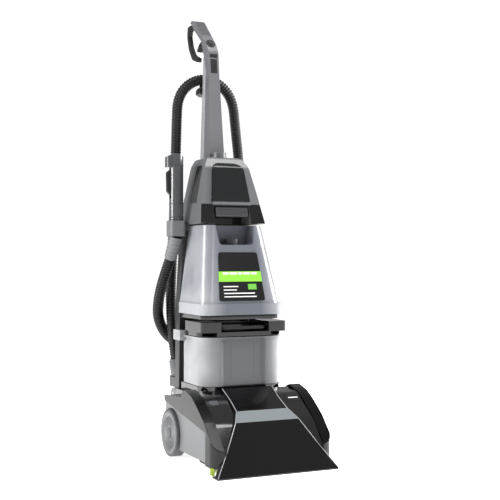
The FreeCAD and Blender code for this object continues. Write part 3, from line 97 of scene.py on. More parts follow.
def grain(tree, shader, grain_mm, height_mm, clouds=0.0):
    """The fine pebble that a spark-eroded mould leaves, and faint clouds in the colour."""
    places = object_places(tree)
    fine = add(tree, "ShaderNodeTexNoise",
               {"Vector": places, "Scale": 1000 / grain_mm, "Detail": 2.0, "Roughness": 0.6})
    bump = add(tree, "ShaderNodeBump",
               {"Height": fine.outputs[0], "Strength": 1.0, "Distance": height_mm * MM})
    tree.links.new(bump.outputs[0], shader.inputs["Normal"])
    if clouds:
        broad = add(tree, "ShaderNodeTexNoise",
                    {"Vector": places, "Scale": 14.0, "Detail": 4.0, "Roughness": 0.6})
        base = shader.inputs["Base Color"].default_value[:3]
        ramp = add(tree, "ShaderNodeValToRGB", {"Fac": broad.outputs[0]})
        ramp.color_ramp.elements[0].position = 0.3
        ramp.color_ramp.elements[1].position = 0.7
        ramp.color_ramp.elements[0].color = (*[c * (1 - clouds) for c in base], 1)
        ramp.color_ramp.elements[1].color = (*[min(1, c * (1 + clouds)) for c in base], 1)
        tree.links.new(ramp.outputs[0], shader.inputs["Base Color"])


def moulded(name, code, roughness, grain_mm=0.9, height_mm=0.02, clouds=0.06, specular=0.5):
    """Injection-moulded ABS: a dielectric with a fine mould grain that breaks up its gloss."""
    material, tree, shader = new_material(name, linear(code), roughness, IOR=1.53,
                                          Specular_IOR_Level=specular)
    grain(tree, shader, grain_mm, height_mm, clouds)
    return material


def glossy(name, code, roughness=0.09, wave_mm=0.02):
    """Polished ABS: a hard clear gloss whose reflections swim a little over the moulding."""
    material, tree, shader = new_material(name, linear(code), roughness, IOR=1.53,
                                          Coat_Weight=0.6, Coat_Roughness=0.04)
    places = object_places(tree)
    wave = add(tree, "ShaderNodeTexNoise", {"Vector": places, "Scale": 25.0, "Detail": 1.0})
    bump = add(tree, "ShaderNodeBump",
               {"Height": wave.outputs[0], "Strength": 1.0, "Distance": wave_mm * MM})
    tree.links.new(bump.outputs[0], shader.inputs["Normal"])
    smear = add(tree, "ShaderNodeTexNoise", {"Vector": places, "Scale": 60.0, "Detail": 3.0})
    spread = add(tree, "ShaderNodeMapRange",
                 {"Value": smear.outputs[0], "To Min": roughness * 0.7, "To Max": roughness * 1.5})
    tree.links.new(spread.outputs[0], shader.inputs["Roughness"])
    return material


def clear(name, code, roughness, transmission, frost_mm=0.0):
    """Tinted polycarbonate or frosted polypropylene: light passes, and the tint shows."""
    material, tree, shader = new_material(name, linear(code), roughness, IOR=1.5,
                                          Transmission_Weight=transmission)
    if frost_mm:
        grain(tree, shader, 0.6, frost_mm)
    else:
        places = object_places(tree)
        wave = add(tree, "ShaderNodeTexNoise", {"Vector": places, "Scale": 18.0, "Detail": 1.0})
        bump = add(tree, "ShaderNodeBump",
                   {"Height": wave.outputs[0], "Strength": 1.0, "Distance": 0.03 * MM})
        tree.links.new(bump.outputs[0], shader.inputs["Normal"])
    return material


def tank_wall_with_painted_side_light(name, middle_code, painted_light_edge_code, half_width, transmission):
    """Frosted polypropylene with painted light: darker in the middle where one looks through it, and
    painted paler towards its left and right edges as a highlight for the light on the tank's sides.
    """
    material = clear(name, middle_code, 0.2, transmission, 0.01)
    tree = material.node_tree
    shader = tree.nodes["Principled BSDF"]
    places = add(tree, "ShaderNodeTexCoord").outputs["Object"]
    across = add(tree, "ShaderNodeSeparateXYZ", {"Vector": places}).outputs["X"]
    away = add(tree, "ShaderNodeMath", {0: across}, operation="ABSOLUTE")
    share = add(tree, "ShaderNodeMapRange",
                {"Value": away.outputs[0], "From Min": 0.45 * half_width, "From Max": half_width})
    cloud = add(tree, "ShaderNodeTexNoise", {"Vector": places, "Scale": 9.0, "Detail": 2.0})
    mixed = add(tree, "ShaderNodeMath", {0: share.outputs[0], 1: cloud.outputs[0], 2: 0.0},
                operation="MULTIPLY_ADD")
    soft = add(tree, "ShaderNodeMapRange", {"Value": mixed.outputs[0], "From Max": 0.55})
    # Painted highlight: the colour runs from the middle colour to a paler edge colour across X, standing
    # in for light falling on the tank's sides.
    ramp = add(tree, "ShaderNodeValToRGB", {"Fac": soft.outputs[0]})
    ramp.color_ramp.elements[0].color = (*linear(middle_code), 1)
    ramp.color_ramp.elements[1].color = (*linear(painted_light_edge_code), 1)
    tree.links.new(ramp.outputs[0], shader.inputs["Base Color"])
    return material


def brushed(name, code):
    """Drawn steel: fine lines along the bar stretch its highlights."""
    material, tree, shader = new_material(name, linear(code), 0.32, Metallic=1.0)
    places = add(tree, "ShaderNodeTexCoord").outputs["Object"]
    lines = add(tree, "ShaderNodeMapping", {"Vector": places, "Scale": (8, 900, 900)})
    noise = add(tree, "ShaderNodeTexNoise", {"Vector": lines.outputs[0], "Scale": 1.0, "Detail": 3.0})
    bump = add(tree, "ShaderNodeBump",
               {"Height": noise.outputs[0], "Strength": 0.6, "Distance": 0.02 * MM})
    tree.links.new(bump.outputs[0], shader.inputs["Normal"])
    return material


def printed_label(name, base_code, band_code, band):
    """A printed film: a plain ground and one bright band between two heights."""
    material, tree, shader = new_material(name, linear(base_code), 0.3, IOR=1.5,
                                          Specular_IOR_Level=0.3)
    places = add(tree, "ShaderNodeTexCoord").outputs["Object"]
    height = add(tree, "ShaderNodeSeparateXYZ", {"Vector": places}).outputs["Z"]
    low = add(tree, "ShaderNodeMath", {0: height, 1: band[0]}, operation="GREATER_THAN")
    high = add(tree, "ShaderNodeMath", {0: height, 1: band[1]}, operation="LESS_THAN")
    inside = add(tree, "ShaderNodeMath", {0: low.outputs[0], 1: high.outputs[0]}, operation="MULTIPLY")
    mix = add(tree, "ShaderNodeMix", {"Factor": inside.outputs[0]}, data_type="RGBA")
    mix.inputs[6].default_value = (*linear(base_code), 1)
    mix.inputs[7].default_value = (*linear(band_code), 1)
    tree.links.new(mix.outputs[2], shader.inputs["Base Color"])
    return material


def make_materials():
    """Every finish by the name that the pieces use."""
    made = {
        # Polished black ABS of the hood: near-mirror highlights along its edges.
        "piano_black": glossy("piano_black_abs", "#060607", 0.1),
        # The same black on the fenders' broad sides, with a thinner gloss.
        "fender_black": moulded("polished_fender_abs", "#060607", 0.16, specular=0.22),
        # Black ABS with a fine grain, for decks, lids and levers.
        "black_abs": moulded("grained_black_abs", "#101011", 0.4, specular=0.35),
        "charcoal_abs": moulded("grained_charcoal_abs", "#343436", 0.36, specular=0.4),
        # Grey ABS with the silver-grey of the sides and the handle.
        "grey_abs": moulded("grained_grey_abs", "#68696b", 0.4),
        "housing_abs": moulded("satin_grey_housing_abs", "#5e5f61", 0.34),
        "light_grey_abs": moulded("satin_light_grey_abs", "#8f9092", 0.34),
        "handle_abs": moulded("satin_handle_abs", "#5c5c60", 0.32),
        # Polished dark grey ABS of the wand.
        "wand_abs": glossy("polished_grey_abs", "#434446", 0.2),
        # Smoke-tinted polycarbonate over the dark duct: almost black, with hard reflections.
        "smoke_cover": clear("smoke_polycarbonate", "#0b0b0c", 0.12, 0.12),
        # A lighter tint for the nozzle's facet: a painted reflection highlight.
        "painted_reflection_band": clear("smoke_polycarbonate_painted_reflection", "#777d80", 0.16, 0.05),
        "smoke_window": clear("smoke_window_polycarbonate", "#2e302e", 0.08, 0.3),
        "clear_window": clear("clear_window_polycarbonate", "#2b2d2e", 0.05, 0.6),
        # Frosted polypropylene tanks, seen through only dimly, with painted side light paling their left
        # and right edges.
        "clean_tank": tank_wall_with_painted_side_light("frosted_blue_grey_pp_painted_side_light", "#6c7079", "#b4b6bb", 0.1, 0.25),
        "dirty_tank": tank_wall_with_painted_side_light("frosted_grey_pp_painted_side_light", "#646569", "#bcbdbf", 0.11, 0.3),
        "white_pp": moulded("white_polypropylene", "#d0d1cf", 0.45, clouds=0.02),
        "rubber": moulded("black_rubber", "#1a1a1a", 0.75, 0.5, 0.05),
        "tyre_rubber": moulded("grey_tyre_rubber", "#565658", 0.7, 0.6, 0.06),
        "hose": moulded("ribbed_hose_polyethylene", "#0e0e0f", 0.38, 1.2, 0.02, 0.12, 0.25),
        "cuff": moulded("grey_hose_cuff", "#6a6b6d", 0.5),
        "bristle": moulded("lime_nylon_bristle", "#9fb52c", 0.5, 1.0, 0.02, 0.2),
        "gear": moulded("natural_acetal", "#c9c6b8", 0.4),
        "steel": brushed("drawn_steel", "#b4b5b8"),
        # Light grey for the tubes laid along the nozzle's edges: painted rim highlights.
        "painted_rim_highlight": moulded("painted_rim_highlight_grey", "#9b9d9f", 0.25, clouds=0.0),
        "decal": glossy("printed_black_film", "#070708", 0.22),
        "mark_white": moulded("printed_white", "#e4e4e2", 0.4, clouds=0.0),
        "lime_print": moulded("printed_lime", "#5fae33", 0.4, clouds=0.0),
        "emblem": glossy("embossed_emblem", "#3c3d40", 0.15),
    }
    made["label"] = printed_label(
        "printed_tank_label", "#070708", "#84d63f", (421 * MM, 445 * MM))
    return made


# -----------------------------------------------------------------------------------------
# Shapes
# -----------------------------------------------------------------------------------------
def finish(name, bm, material, body, smooth=35, replaced=(), slots=()):
    """Turns a bmesh into a piece that rides on a body; smooth is the crease angle."""
    mesh = bpy.data.meshes.new(name)
    bm.to_mesh(mesh)
    bm.free()
    piece = bpy.data.objects.new(name, mesh)
    bpy.context.collection.objects.link(piece)
    for key in (material, *slots):
        mesh.materials.append(MATERIALS[key])
    for polygon in mesh.polygons:
        polygon.use_smooth = True
    mesh.set_sharp_from_angle(angle=math.radians(smooth))
    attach(piece, body)
    if replaced:
        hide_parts(*replaced)
    return piece


def sharp_edges(bm, degrees):
    """The edges at which two faces meet at more than an angle."""
    return [edge for edge in bm.edges
            if len(edge.link_faces) == 2 and edge.calc_face_angle(0) > math.radians(degrees)]


def soften(bm, edges, width, segments=2):
    bmesh.ops.bevel(bm, geom=edges, offset=width, offset_type="OFFSET", affect="EDGES",
                    segments=segments, profile=0.5, clamp_overlap=True, material=-1)


def merged_copy(*names):
    """A copy of CAD nodes with whole faces in place of loose triangles."""
    bm = bmesh.new()
    for name in names:
        bm.from_mesh(NODES[name].data)
    bmesh.ops.remove_doubles(bm, verts=bm.verts, dist=0.002 * MM)
    bmesh.ops.dissolve_limit(bm, angle_limit=math.radians(0.6), verts=bm.verts, edges=bm.edges,
                             delimit={"NORMAL"})
    return bm


def block(bm, low, high, turn=None):
    """A box between two corners, in millimetres, turned about its middle."""
    low, high = Vector(low) * MM, Vector(high) * MM
    place = Matrix.Translation((low + high) / 2) @ (turn or Matrix())
    scale = Matrix.Diagonal((*(high - low), 1))
    return bmesh.ops.create_cube(bm, size=1, matrix=place @ scale)["verts"]


def ring_of_blocks(bm, low, high, count, centre):
    """Copies of one box, evenly round the X axis, then moved to the wheel's centre."""
    corners = block(bm, low, high)
    geometry = (corners + list({e for v in corners for e in v.link_edges})
                + list({f for v in corners for f in v.link_faces}))
    bmesh.ops.spin(bm, geom=geometry, cent=(0, 0, 0), axis=(1, 0, 0), steps=count - 1,
                   angle=math.tau * (count - 1) / count, use_duplicate=True)
    bmesh.ops.translate(bm, vec=Vector(centre) * MM, verts=bm.verts)


def plate(bm, corners, thickness):
    """A flat plate on the given corners, in millimetres, raised by its thickness."""
    face = bm.faces.new([bm.verts.new(Vector(c) * MM) for c in corners])
    face.normal_update()
    lift = face.normal * thickness * MM
    raised = bmesh.ops.extrude_face_region(bm, geom=[face])["geom"]
    bmesh.ops.translate(bm, vec=lift, verts=[v for v in raised if isinstance(v, bmesh.types.BMVert)])
    return face


def tube(bm, path, radii, sides=12):
    """A round tube of changing radius along a path, closed at both ends."""
    count = len(path)
    rings = []
    up = Vector((0, 0, 1))
    ahead = (path[1] - path[0]).normalized()
    side = ahead.cross(up if abs(ahead.z) < 0.9 else Vector((1, 0, 0))).normalized()
    for i, place in enumerate(path):
        ahead = (path[min(i + 1, count - 1)] - path[max(i - 1, 0)]).normalized()
        side = (side - ahead * side.dot(ahead)).normalized()
        other = ahead.cross(side)
        basis = Matrix((side, other, ahead)).transposed().to_4x4()
        ring = bmesh.ops.create_circle(bm, cap_ends=False, segments=sides, radius=radii[i],
                                       matrix=Matrix.Translation(place) @ basis)["verts"]
        rings.append(ring)
    for first, second in zip(rings, rings[1:]):
        for k in range(sides):
            bm.faces.new((first[k], first[(k + 1) % sides], second[(k + 1) % sides], second[k]))
    bm.faces.new(list(reversed(rings[0])))
    bm.faces.new(rings[-1])
    bmesh.ops.recalc_face_normals(bm, faces=bm.faces)


def spline_places(name, points, spacing):
    """Evenly spaced places along the smooth line that the route's points control."""
    curve = bpy.data.curves.new(name, "CURVE")
    curve.dimensions = "3D"
    curve.resolution_u = 40
    spline = curve.splines.new("NURBS")
    spline.points.add(len(points) - 1)
    for point, place in zip(spline.points, points):
        point.co = (*place, 1)
    spline.order_u = 3
    spline.use_endpoint_u = True
    holder = bpy.data.objects.new(name, curve)
    line = bpy.data.meshes.new_from_object(holder)
    fine = [v.co.copy() for v in line.vertices]
    bpy.data.objects.remove(holder)
    bpy.data.curves.remove(curve)
    bpy.data.meshes.remove(line)
    lengths = [0.0]
    for a, b in zip(fine, fine[1:]):
        lengths.append(lengths[-1] + (b - a).length)
    total = lengths[-1]
    count = round(total / spacing)
    places, at = [], 0
    for k in range(count + 1):
        want = total * k / count
        while at < len(fine) - 2 and lengths[at + 1] < want:
            at += 1
        share = (want - lengths[at]) / max(lengths[at + 1] - lengths[at], 1e-9)
        places.append(fine[at].lerp(fine[at + 1], share))
    return places, total


# -----------------------------------------------------------------------------------------
# The machine's own places, in millimetres
# -----------------------------------------------------------------------------------------
# The wheels' axle; each wheel has its own place along X.
AXLE = (0, 26, 56.4)


def tank_face_y(z):
    """The clean tank's sloping front face."""
    return -71 + (z - 359) * 52 / 198


def cover_front(z):
    """The upper housing's leaning front, in line with the tool bay's cover."""
    return 4 + (z - 609) * 22 / 91


def cover_y(z):
    """The nozzle's front below its bend."""
    return -268 + (z - 4) * 63 / 105


HOSE_ROUTE = [
    (-0.081, 0.164, 0.196), (-0.091, 0.166, 0.262), (-0.098, 0.169, 0.366), (-0.092, 0.171, 0.484),
    (-0.085, 0.172, 0.610), (-0.082, 0.171, 0.740), (-0.080, 0.170, 0.828), (-0.077, 0.170, 0.888),
    (-0.047, 0.170, 0.928), (0.000, 0.170, 0.944), (0.047, 0.170, 0.928), (0.077, 0.170, 0.888),
    (0.084, 0.170, 0.820), (0.096, 0.169, 0.712), (0.094, 0.172, 0.590), (0.092, 0.175, 0.515),
    (0.089, 0.179, 0.445), (0.084, 0.183, 0.380), (0.074, 0.188, 0.318), (0.036, 0.200, 0.265),
    (-0.025, 0.208, 0.245), (-0.088, 0.204, 0.265), (-0.127, 0.184, 0.318), (-0.134, 0.156, 0.376),
    (-0.129, 0.128, 0.430), (-0.119, 0.104, 0.482), (-0.112, 0.086, 0.530),
]


# -----------------------------------------------------------------------------------------
# Settings
# -----------------------------------------------------------------------------------------
class CleanerSizes(bpy.types.PropertyGroup):
    """Sizes of the visual detail."""

    hose_diameter: bpy.props.FloatProperty(
        name="Hose diameter", description="Outside of the hose over its ribs",
        default=28 * MM, unit="LENGTH")
    rib_pitch: bpy.props.FloatProperty(
        name="Rib pitch", description="Distance from one rib of the hose to the next",
        default=7 * MM, unit="LENGTH")
    rib_depth: bpy.props.FloatProperty(
        name="Rib depth", description="How far the hose's ribs stand out",
        default=2.4 * MM, unit="LENGTH")
    edge_radius: bpy.props.FloatProperty(
        name="Edge radius", description="Rounding of the mouldings' outer edges",
        default=1.2 * MM, unit="LENGTH")
    bristle_radius: bpy.props.FloatProperty(
        name="Bristle radius", description="Radius of one bristle, drawn thick enough to show",
        default=0.5 * MM, unit="LENGTH")


class CleanerColours(bpy.types.PropertyGroup):
    """Colours of the stage."""

    backdrop: bpy.props.FloatVectorProperty(
        name="Backdrop", description="Colour of the floor and the wall behind",
        default=linear("#f4f4f3"), subtype="COLOR", size=3, min=0, max=1)


# -----------------------------------------------------------------------------------------
# Operators
# -----------------------------------------------------------------------------------------
class CLEANER_OT_stage(bpy.types.Operator):
    """Adds the camera, the floor and the studio lights"""

    bl_idname = "cleaner.stage"
    bl_label = "Stage"

    def execute(self, context):
        camera = bpy.data.cameras.new("camera")
        camera.lens, camera.sensor_width = 72.21, 36
        camera.shift_y = 0.01066
        camera.clip_end = 20
        eye = bpy.data.objects.new("camera", camera)
        eye.location = (-0.9748, -2.2528, 0.4845)
        eye.rotation_euler = (math.radians(89.982), 0, math.radians(-24.454))
        context.collection.objects.link(eye)
        context.scene.camera = eye

        tint = context.scene.cleaner_colours.backdrop[:]
        studio, tree, shader = new_material("studio_paper", tint, 0.9, Emission_Color=tint,
                                            Emission_Strength=0.85)
        grain(tree, shader, 3.0, 0.02)
        bm = bmesh.new()
        bmesh.ops.create_circle(bm, cap_ends=True, segments=64, radius=12)
        mesh = bpy.data.meshes.new("studio_paper")
        bm.to_mesh(mesh)
        bm.free()
        for polygon in mesh.polygons:
            polygon.use_smooth = True
        mesh.materials.append(studio)
        paper = bpy.data.objects.new("studio_paper", mesh)
        context.collection.objects.link(paper)

        middle = Vector((0, 0, 0.5))
        for name, place, size, power in (
                ("left_softbox", (-2.4, 0.2, 1.2), 1.2, 60),
                ("right_softbox", (2.2, -0.5, 1.2), 1.4, 95),
                ("top_softbox", (0.2, -0.4, 3.0), 1.6, 48),
                ("front_fill", (0.6, -3.2, 2.0), 0.8, 14)):
            light = bpy.data.lights.new(name, "AREA")
            light.size, light.energy = size, power
            lamp = bpy.data.objects.new(name, light)
            lamp.location = place
            lamp.rotation_euler = (middle - Vector(place)).to_track_quat("-Z", "Y").to_euler()
            context.collection.objects.link(lamp)
        world = bpy.data.worlds.new("studio_air")
        world.use_nodes = True
        # The studio is white to the eye and through the clear parts, and dim in reflections.
        air = world.node_tree
        ray = add(air, "ShaderNodeLightPath")
        seen = add(air, "ShaderNodeMath", {0: ray.outputs["Is Camera Ray"],
                                           1: ray.outputs["Is Transmission Ray"]}, operation="MAXIMUM")
        bright = add(air, "ShaderNodeMapRange",
                     {"Value": seen.outputs[0], "To Min": 0.34, "To Max": 1.05})
        air.nodes["Background"].inputs["Color"].default_value = (1, 1, 1, 1)
        air.links.new(bright.outputs[0], air.nodes["Background"].inputs["Strength"])
        context.scene.world = world
        # Finishes show at their stated colours.
        context.scene.view_settings.view_transform = "Standard"
        return {"FINISHED"}


class CLEANER_OT_hose(bpy.types.Operator):
    """Builds the ribbed hose from its cuff, over its hook and round to the wand"""

    bl_idname = "cleaner.hose"
    bl_label = "Hose"

    def execute(self, context):
        sizes = context.scene.cleaner_sizes
        steps = 4
        places, total = spline_places("hose_line", HOSE_ROUTE, sizes.rib_pitch / steps)
        outer = sizes.hose_diameter / 2
        wave = [0.0, 0.45, 1.0, 0.45]
        radii = [outer - sizes.rib_depth * wave[i % steps] for i in range(len(places))]
        bm = bmesh.new()
        tube(bm, places, radii, 20)
        hose = finish("ribbed_hose", bm, "hose", "handle", 80, ["hose"])

        bm = bmesh.new()
        last = places[-int(0.062 / (total / len(places))):]
        share = [i / (len(last) - 1) for i in range(len(last))]
        sleeve_radii = [outer + (0.6 + 2.2 * s) * MM + (0.9 * MM if (i // 3) % 2 else 0)
                        for i, s in enumerate(share)]
        tube(bm, last, sleeve_radii, 24)
        sleeve = finish("wand_sleeve", bm, "cuff", "handle", 80)
        return {"FINISHED"}


# Each moulding that gets softened edges: its node, piece, finish, slot, body and edge radius.
SHELLS = [
    ("base_chassis", "side_and_floor_moulding", "grey_abs", "mid_grey", "foot", 1.5),
    ("foot_hood", "polished_hood", "piano_black", "black_gloss", "foot", 1.0),
    ("brush_housing", "brush_block", "black_abs", "black_satin", "foot", 1.0),
    ("tank_seat", "tank_deck", "piano_black", "black_satin", "foot", 1.2),
    ("nozzle_cover", "nozzle_window", "smoke_cover", "clear_smoke", "foot", 0.8),
    ("nozzle_lip", "nozzle_lip_strip", "smoke_cover", "clear_smoke", "foot", 0.8),
    ("recovery_tank", "recovery_bowl", "dirty_tank", "tank_clear", "recovery_tank", 0.8),
    ("recovery_lid", "recovery_lid_moulding", "piano_black", "black_satin", "recovery_lid", 1.5),
    ("handle_frame", "frame_moulding", "charcoal_abs", "mid_grey", "handle", 2.0),
    ("tank_shelf", "shelf_moulding", "piano_black", "black_satin", "handle", 1.2),
    ("solution_tank", "clean_water_tank", "clean_tank", "tank_clear", "solution_tank", 1.2),
    ("upper_housing", "housing_moulding", "housing_abs", "mid_grey", "handle", 1.6),
    ("handle_front", "handle_front_moulding", "handle_abs", "mid_grey", "handle", 1.6),
    ("handle_back", "handle_back_moulding", "light_grey_abs", "mid_grey", "handle", 1.6),
    ("caddy_cover", "tool_bay_cover", "clear_window", "clear_smoke", "caddy_cover", 0.6),
    ("cord_hook", "cord_hook_moulding", "black_abs", "black_satin", "cord_hook", 2.2),
    ("tank_latch", "latch_grip", "charcoal_abs", "mid_grey", "tank_latch", 0.6),
    ("wand", "wand_moulding", "wand_abs", "wand_grey", "handle", 0.8),
    ("wand_holder", "wand_clip", "grey_abs", "mid_grey", "handle", 1.0),
    ("hose_hook", "hose_saddle", "black_abs", "black_satin", "handle", 1.6),
    ("hand_tool_body", "hand_tool_head", "black_abs", "black_satin", "handle", 1.5),
    ("tank_bail", "carry_bail", "black_abs", "black_satin", "tank_bail", 1.5),
    ("fill_cap", "fill_cap_moulding", "charcoal_abs", "black_satin", "fill_cap", 0.8),
    ("solution_trigger", "trigger_moulding", "black_abs", "black_satin", "solution_trigger", 1.2),
]


def in_tool_bay(place, normal):
    """The black lining of the hand tool's bay and of the recess below the latch."""
    bay = abs(place.x) < 52 and 611 < place.z < 712 and cover_front(place.z) + 4 < place.y < 100
    recess = abs(place.x) < 48 and place.z < 608 and place.y < 62
    return (bay or recess) and (abs(normal.y) > 0.5 or bay)


# Where a moulding is black inside: the test for its faces, and the second finish.
INSIDES = {"upper_housing": (in_tool_bay, ("piano_black",))}


class CLEANER_OT_shells(bpy.types.Operator):
    """Gives the mouldings their rounded edges and finishes"""

    bl_idname = "cleaner.shells"
    bl_label = "Mouldings"

    def execute(self, context):
        for node, name, material, slot, body, radius in SHELLS:
            bm = merged_copy(node)
            soften(bm, sharp_edges(bm, 32), radius * MM)
            extra = ()
            if node in INSIDES:
                inside, extra = INSIDES[node]
                for face in bm.faces:
                    face.material_index = int(inside(face.calc_center_median() / MM, face.normal))
            piece = finish(name, bm, material, body, 50, [node], extra)
            modifier = piece.modifiers.new("even_normals", "WEIGHTED_NORMAL")
            modifier.keep_sharp = True
        for side in ("left", "right"):
            bm = merged_copy(f"{side}_fender")
            outside = [e for e in sharp_edges(bm, 32)
                       if all(abs(v.co.x) > 148.5 * MM and v.co.z > 60 * MM for v in e.verts)]
            upper = [e for e in outside if sum(v.co.z for v in e.verts) / 2 > 112 * MM
                     or e.verts[0].co.y < -200 * MM]
            soften(bm, upper, 9 * MM, 5)
            piece = finish(f"{side}_fender_moulding", bm, "fender_black", "foot", 40,
                           [f"{side}_fender"])
            modifier = piece.modifiers.new("even_normals", "WEIGHTED_NORMAL")
            modifier.keep_sharp = True
        return {"FINISHED"}


# The finish of each node that is shown as the frame has it.
PLAIN = {
    "piano_black": ["nozzle_duct"],
    "black_abs": ["motor_housing", "turbine_housing", "solution_pump", "power_pedal",
                  "release_pedal", "wand_trigger", "surge_button", "cord_gland"],
    "rubber": ["lid_gasket"],
    "tyre_rubber": ["left_tyre", "right_tyre"],
    "grey_abs": ["left_wheel", "right_wheel"],
    "cuff": ["hose_cuff"],
    "smoke_window": ["side_windows"],
    "white_pp": ["float_cage", "tank_float", "spray_bar"],
    "gear": ["turbine_rotor"] + [f"brush_{k}" for k in range(1, 7)],
    "bristle": ["edge_bristles", "hand_tool_brush"],
    "steel": ["rear_axle", "pivot_pins", "foot_screws", "suction_motor", "trigger_rod"],
}


class CLEANER_OT_plain(bpy.types.Operator):
    """Gives the remaining frame nodes their finishes"""

    bl_idname = "cleaner.plain"
    bl_label = "Plain nodes"

    def execute(self, context):
        for material, names in PLAIN.items():
            for name in names:
                for slot in NODES[name].material_slots:
                    slot.material = MATERIALS[material]
        return {"FINISHED"}


class CLEANER_OT_nozzle_trim(bpy.types.Operator):
    """Adds a lighter band painted on the nozzle's facet as a reflection highlight, light-grey rims
    painted as highlights along its edges, and the plain film on the hood
    """

    bl_idname = "cleaner.nozzle_trim"
    bl_label = "Nozzle trim"

    def execute(self, context):
        # A lighter plate on the facet between the nozzle's bends: a painted reflection highlight.
        bm = bmesh.new()
        plate(bm, [(-77, -205.3, 109.5), (77, -205.3, 109.5), (62.5, -176.6, 130.2),
                   (-62.5, -176.6, 130.2)], 0.7)
        finish("nozzle_painted_reflection_band", bm, "painted_reflection_band", "foot")

        # Light-grey tubes along the nozzle's side edges and bends: painted rim highlights.
        rim = [(148, 4), (113, 56), (80, 109), (65, 130), (63, 150), (65, 171)]

        def front(z):
            if z <= 109:
                return cover_y(z)
            return -205 + (z - 109) * 29 / 21 if z <= 130 else -176 + (z - 130) * 84 / 42

        for side, sign in (("left", -1), ("right", 1)):
            bm = bmesh.new()
            line = [Vector((sign * (x - 1), front(z) - 0.3, z + 0.5)) * MM for x, z in rim]
            tube(bm, line, [0.9 * MM] * len(line), 8)
            finish(f"{side}_nozzle_painted_rim_highlight", bm, "painted_rim_highlight", "foot", 60)

        bm = bmesh.new()
        slope = Vector((0, -77, -49.5)).normalized()
        start = Vector((0, -115, 158))
        a, b = start + slope * 8, start + slope * 32
        plate(bm, [(84, b.y, b.z), (117, b.y, b.z), (117, a.y, a.z), (84, a.y, a.z)], 0.6)
        finish("hood_label", bm, "decal", "foot")
        bm = bmesh.new()
        a, b = start + slope * 19, start + slope * 22
        lift = Vector((0, -0.33, 0.5)) * 1.3
        plate(bm, [Vector(c) + lift for c in
                   ((88, b.y, b.z), (113, b.y, b.z), (113, a.y, a.z), (88, a.y, a.z))], 0.2)
        finish("hood_marks", bm, "mark_white", "foot")
        bm = bmesh.new()
        a, b = start + slope * 14, start + slope * 30
        plate(bm, [(-112, b.y, b.z), (-92, b.y, b.z), (-92, a.y, a.z), (-112, a.y, a.z)], 0.5)
        finish("hood_emblem", bm, "emblem", "foot")

        bm = bmesh.new()
        for x in (-50, 0, 50):
            block(bm, (x - 1, -269.5, 0.5), (x + 1, -262, 5))
        finish("lip_ribs", bm, "smoke_cover", "foot")
        return {"FINISHED"}


class CLEANER_OT_wheel_trim(bpy.types.Operator):
    """Adds ribs to the wheels' faces, their hub caps and the tyres' tread"""

    bl_idname = "cleaner.wheel_trim"
    bl_label = "Wheel trim"

    def execute(self, context):
        for side, sign in (("left", -1), ("right", 1)):
            bm = bmesh.new()
            near, far = sorted((sign * 151.2, sign * 152.8))
            ring_of_blocks(bm, (near, -0.7, 17), (far, 0.7, 39), 30, AXLE)
            finish(f"{side}_wheel_ribs", bm, "grey_abs", f"{side}_wheel")

            bm = bmesh.new()
            turn = Matrix.Rotation(math.radians(90), 4, "Y")
            place = Matrix.Translation(Vector((sign * 149.5, *AXLE[1:])) * MM) @ turn
            bmesh.ops.create_cone(bm, cap_ends=True, segments=32, radius1=11 * MM,
                                  radius2=11 * MM, depth=5 * MM, matrix=place)
            soften(bm, sharp_edges(bm, 60), 1.2 * MM, 3)
            block(bm, (sign * 152 - 0.3, 19, 55.3), (sign * 152 + 0.3, 33, 57.5))
            finish(f"{side}_hub_cap", bm, "charcoal_abs", f"{side}_wheel", 40)

            bm = bmesh.new()
            ring_of_blocks(bm, (sign * 140.5 - 12.5, -1.1, 55.6), (sign * 140.5 + 12.5, 1.1, 56.35),
                           72, AXLE)
            finish(f"{side}_tread", bm, "tyre_rubber", f"{side}_wheel")
        return {"FINISHED"}


class CLEANER_OT_tank_marks(bpy.types.Operator):
    """Adds the clean tank's label and the recovery tank's level ticks and panel lines"""

    bl_idname = "cleaner.tank_marks"
    bl_label = "Tank marks"

    def execute(self, context):
        bm = bmesh.new()
        low, high = 375, 491
        off = 0.15
        plate(bm, [(-60, tank_face_y(low) - off, low), (60, tank_face_y(low) - off, low),
                   (51, tank_face_y(high) - off, high), (-51, tank_face_y(high) - off, high)], 0.4)
        upright = [e for e in bm.edges if (e.verts[0].co - e.verts[1].co).length < 0.5 * MM]
        soften(bm, upright, 6 * MM, 5)
        finish("tank_label", bm, "label", "solution_tank")

        def bar(bm, left, right, low, high):
            face = [(left, low), (right, low), (right, high), (left, high)]
            plate(bm, [(x, tank_face_y(z) - 0.6, z) for x, z in face], 0.15)

        bm = bmesh.new()
        for row, (left, right) in enumerate(((-46, -8), (-46, -12), (-46, 34), (-46, 38))):
            bar(bm, left, right, 408 - 8 * row, 410.4 - 8 * row)
        for left, right in ((-44, -30), (-27, -8), (-5, 6), (9, 27), (30, 44)):
            bar(bm, left, right, 438, 443)
        finish("label_bars", bm, "mark_white", "solution_tank")
        bm = bmesh.new()
        bar(bm, 18, 40, 402, 415)
        finish("label_field", bm, "lime_print", "solution_tank")

        bm = bmesh.new()
        for sign in (-1, 1):
            for k in range(8):
                z = 206 + 9 * k
                long = 4 if k % 2 else 8
                edge = sign * 60
                left, right = sorted((edge, edge + sign * long))
                block(bm, (left, -73.4, z), (right, -72.9, z + 1))
        finish("level_ticks", bm, "dirty_tank", "recovery_tank")

        bm = bmesh.new()
        for x in (-30, 30):
            block(bm, (x - 0.6, -67.4, 190), (x + 0.6, -66.9, 276))
        finish("panel_lines", bm, "dirty_tank", "recovery_tank")
        return {"FINISHED"}


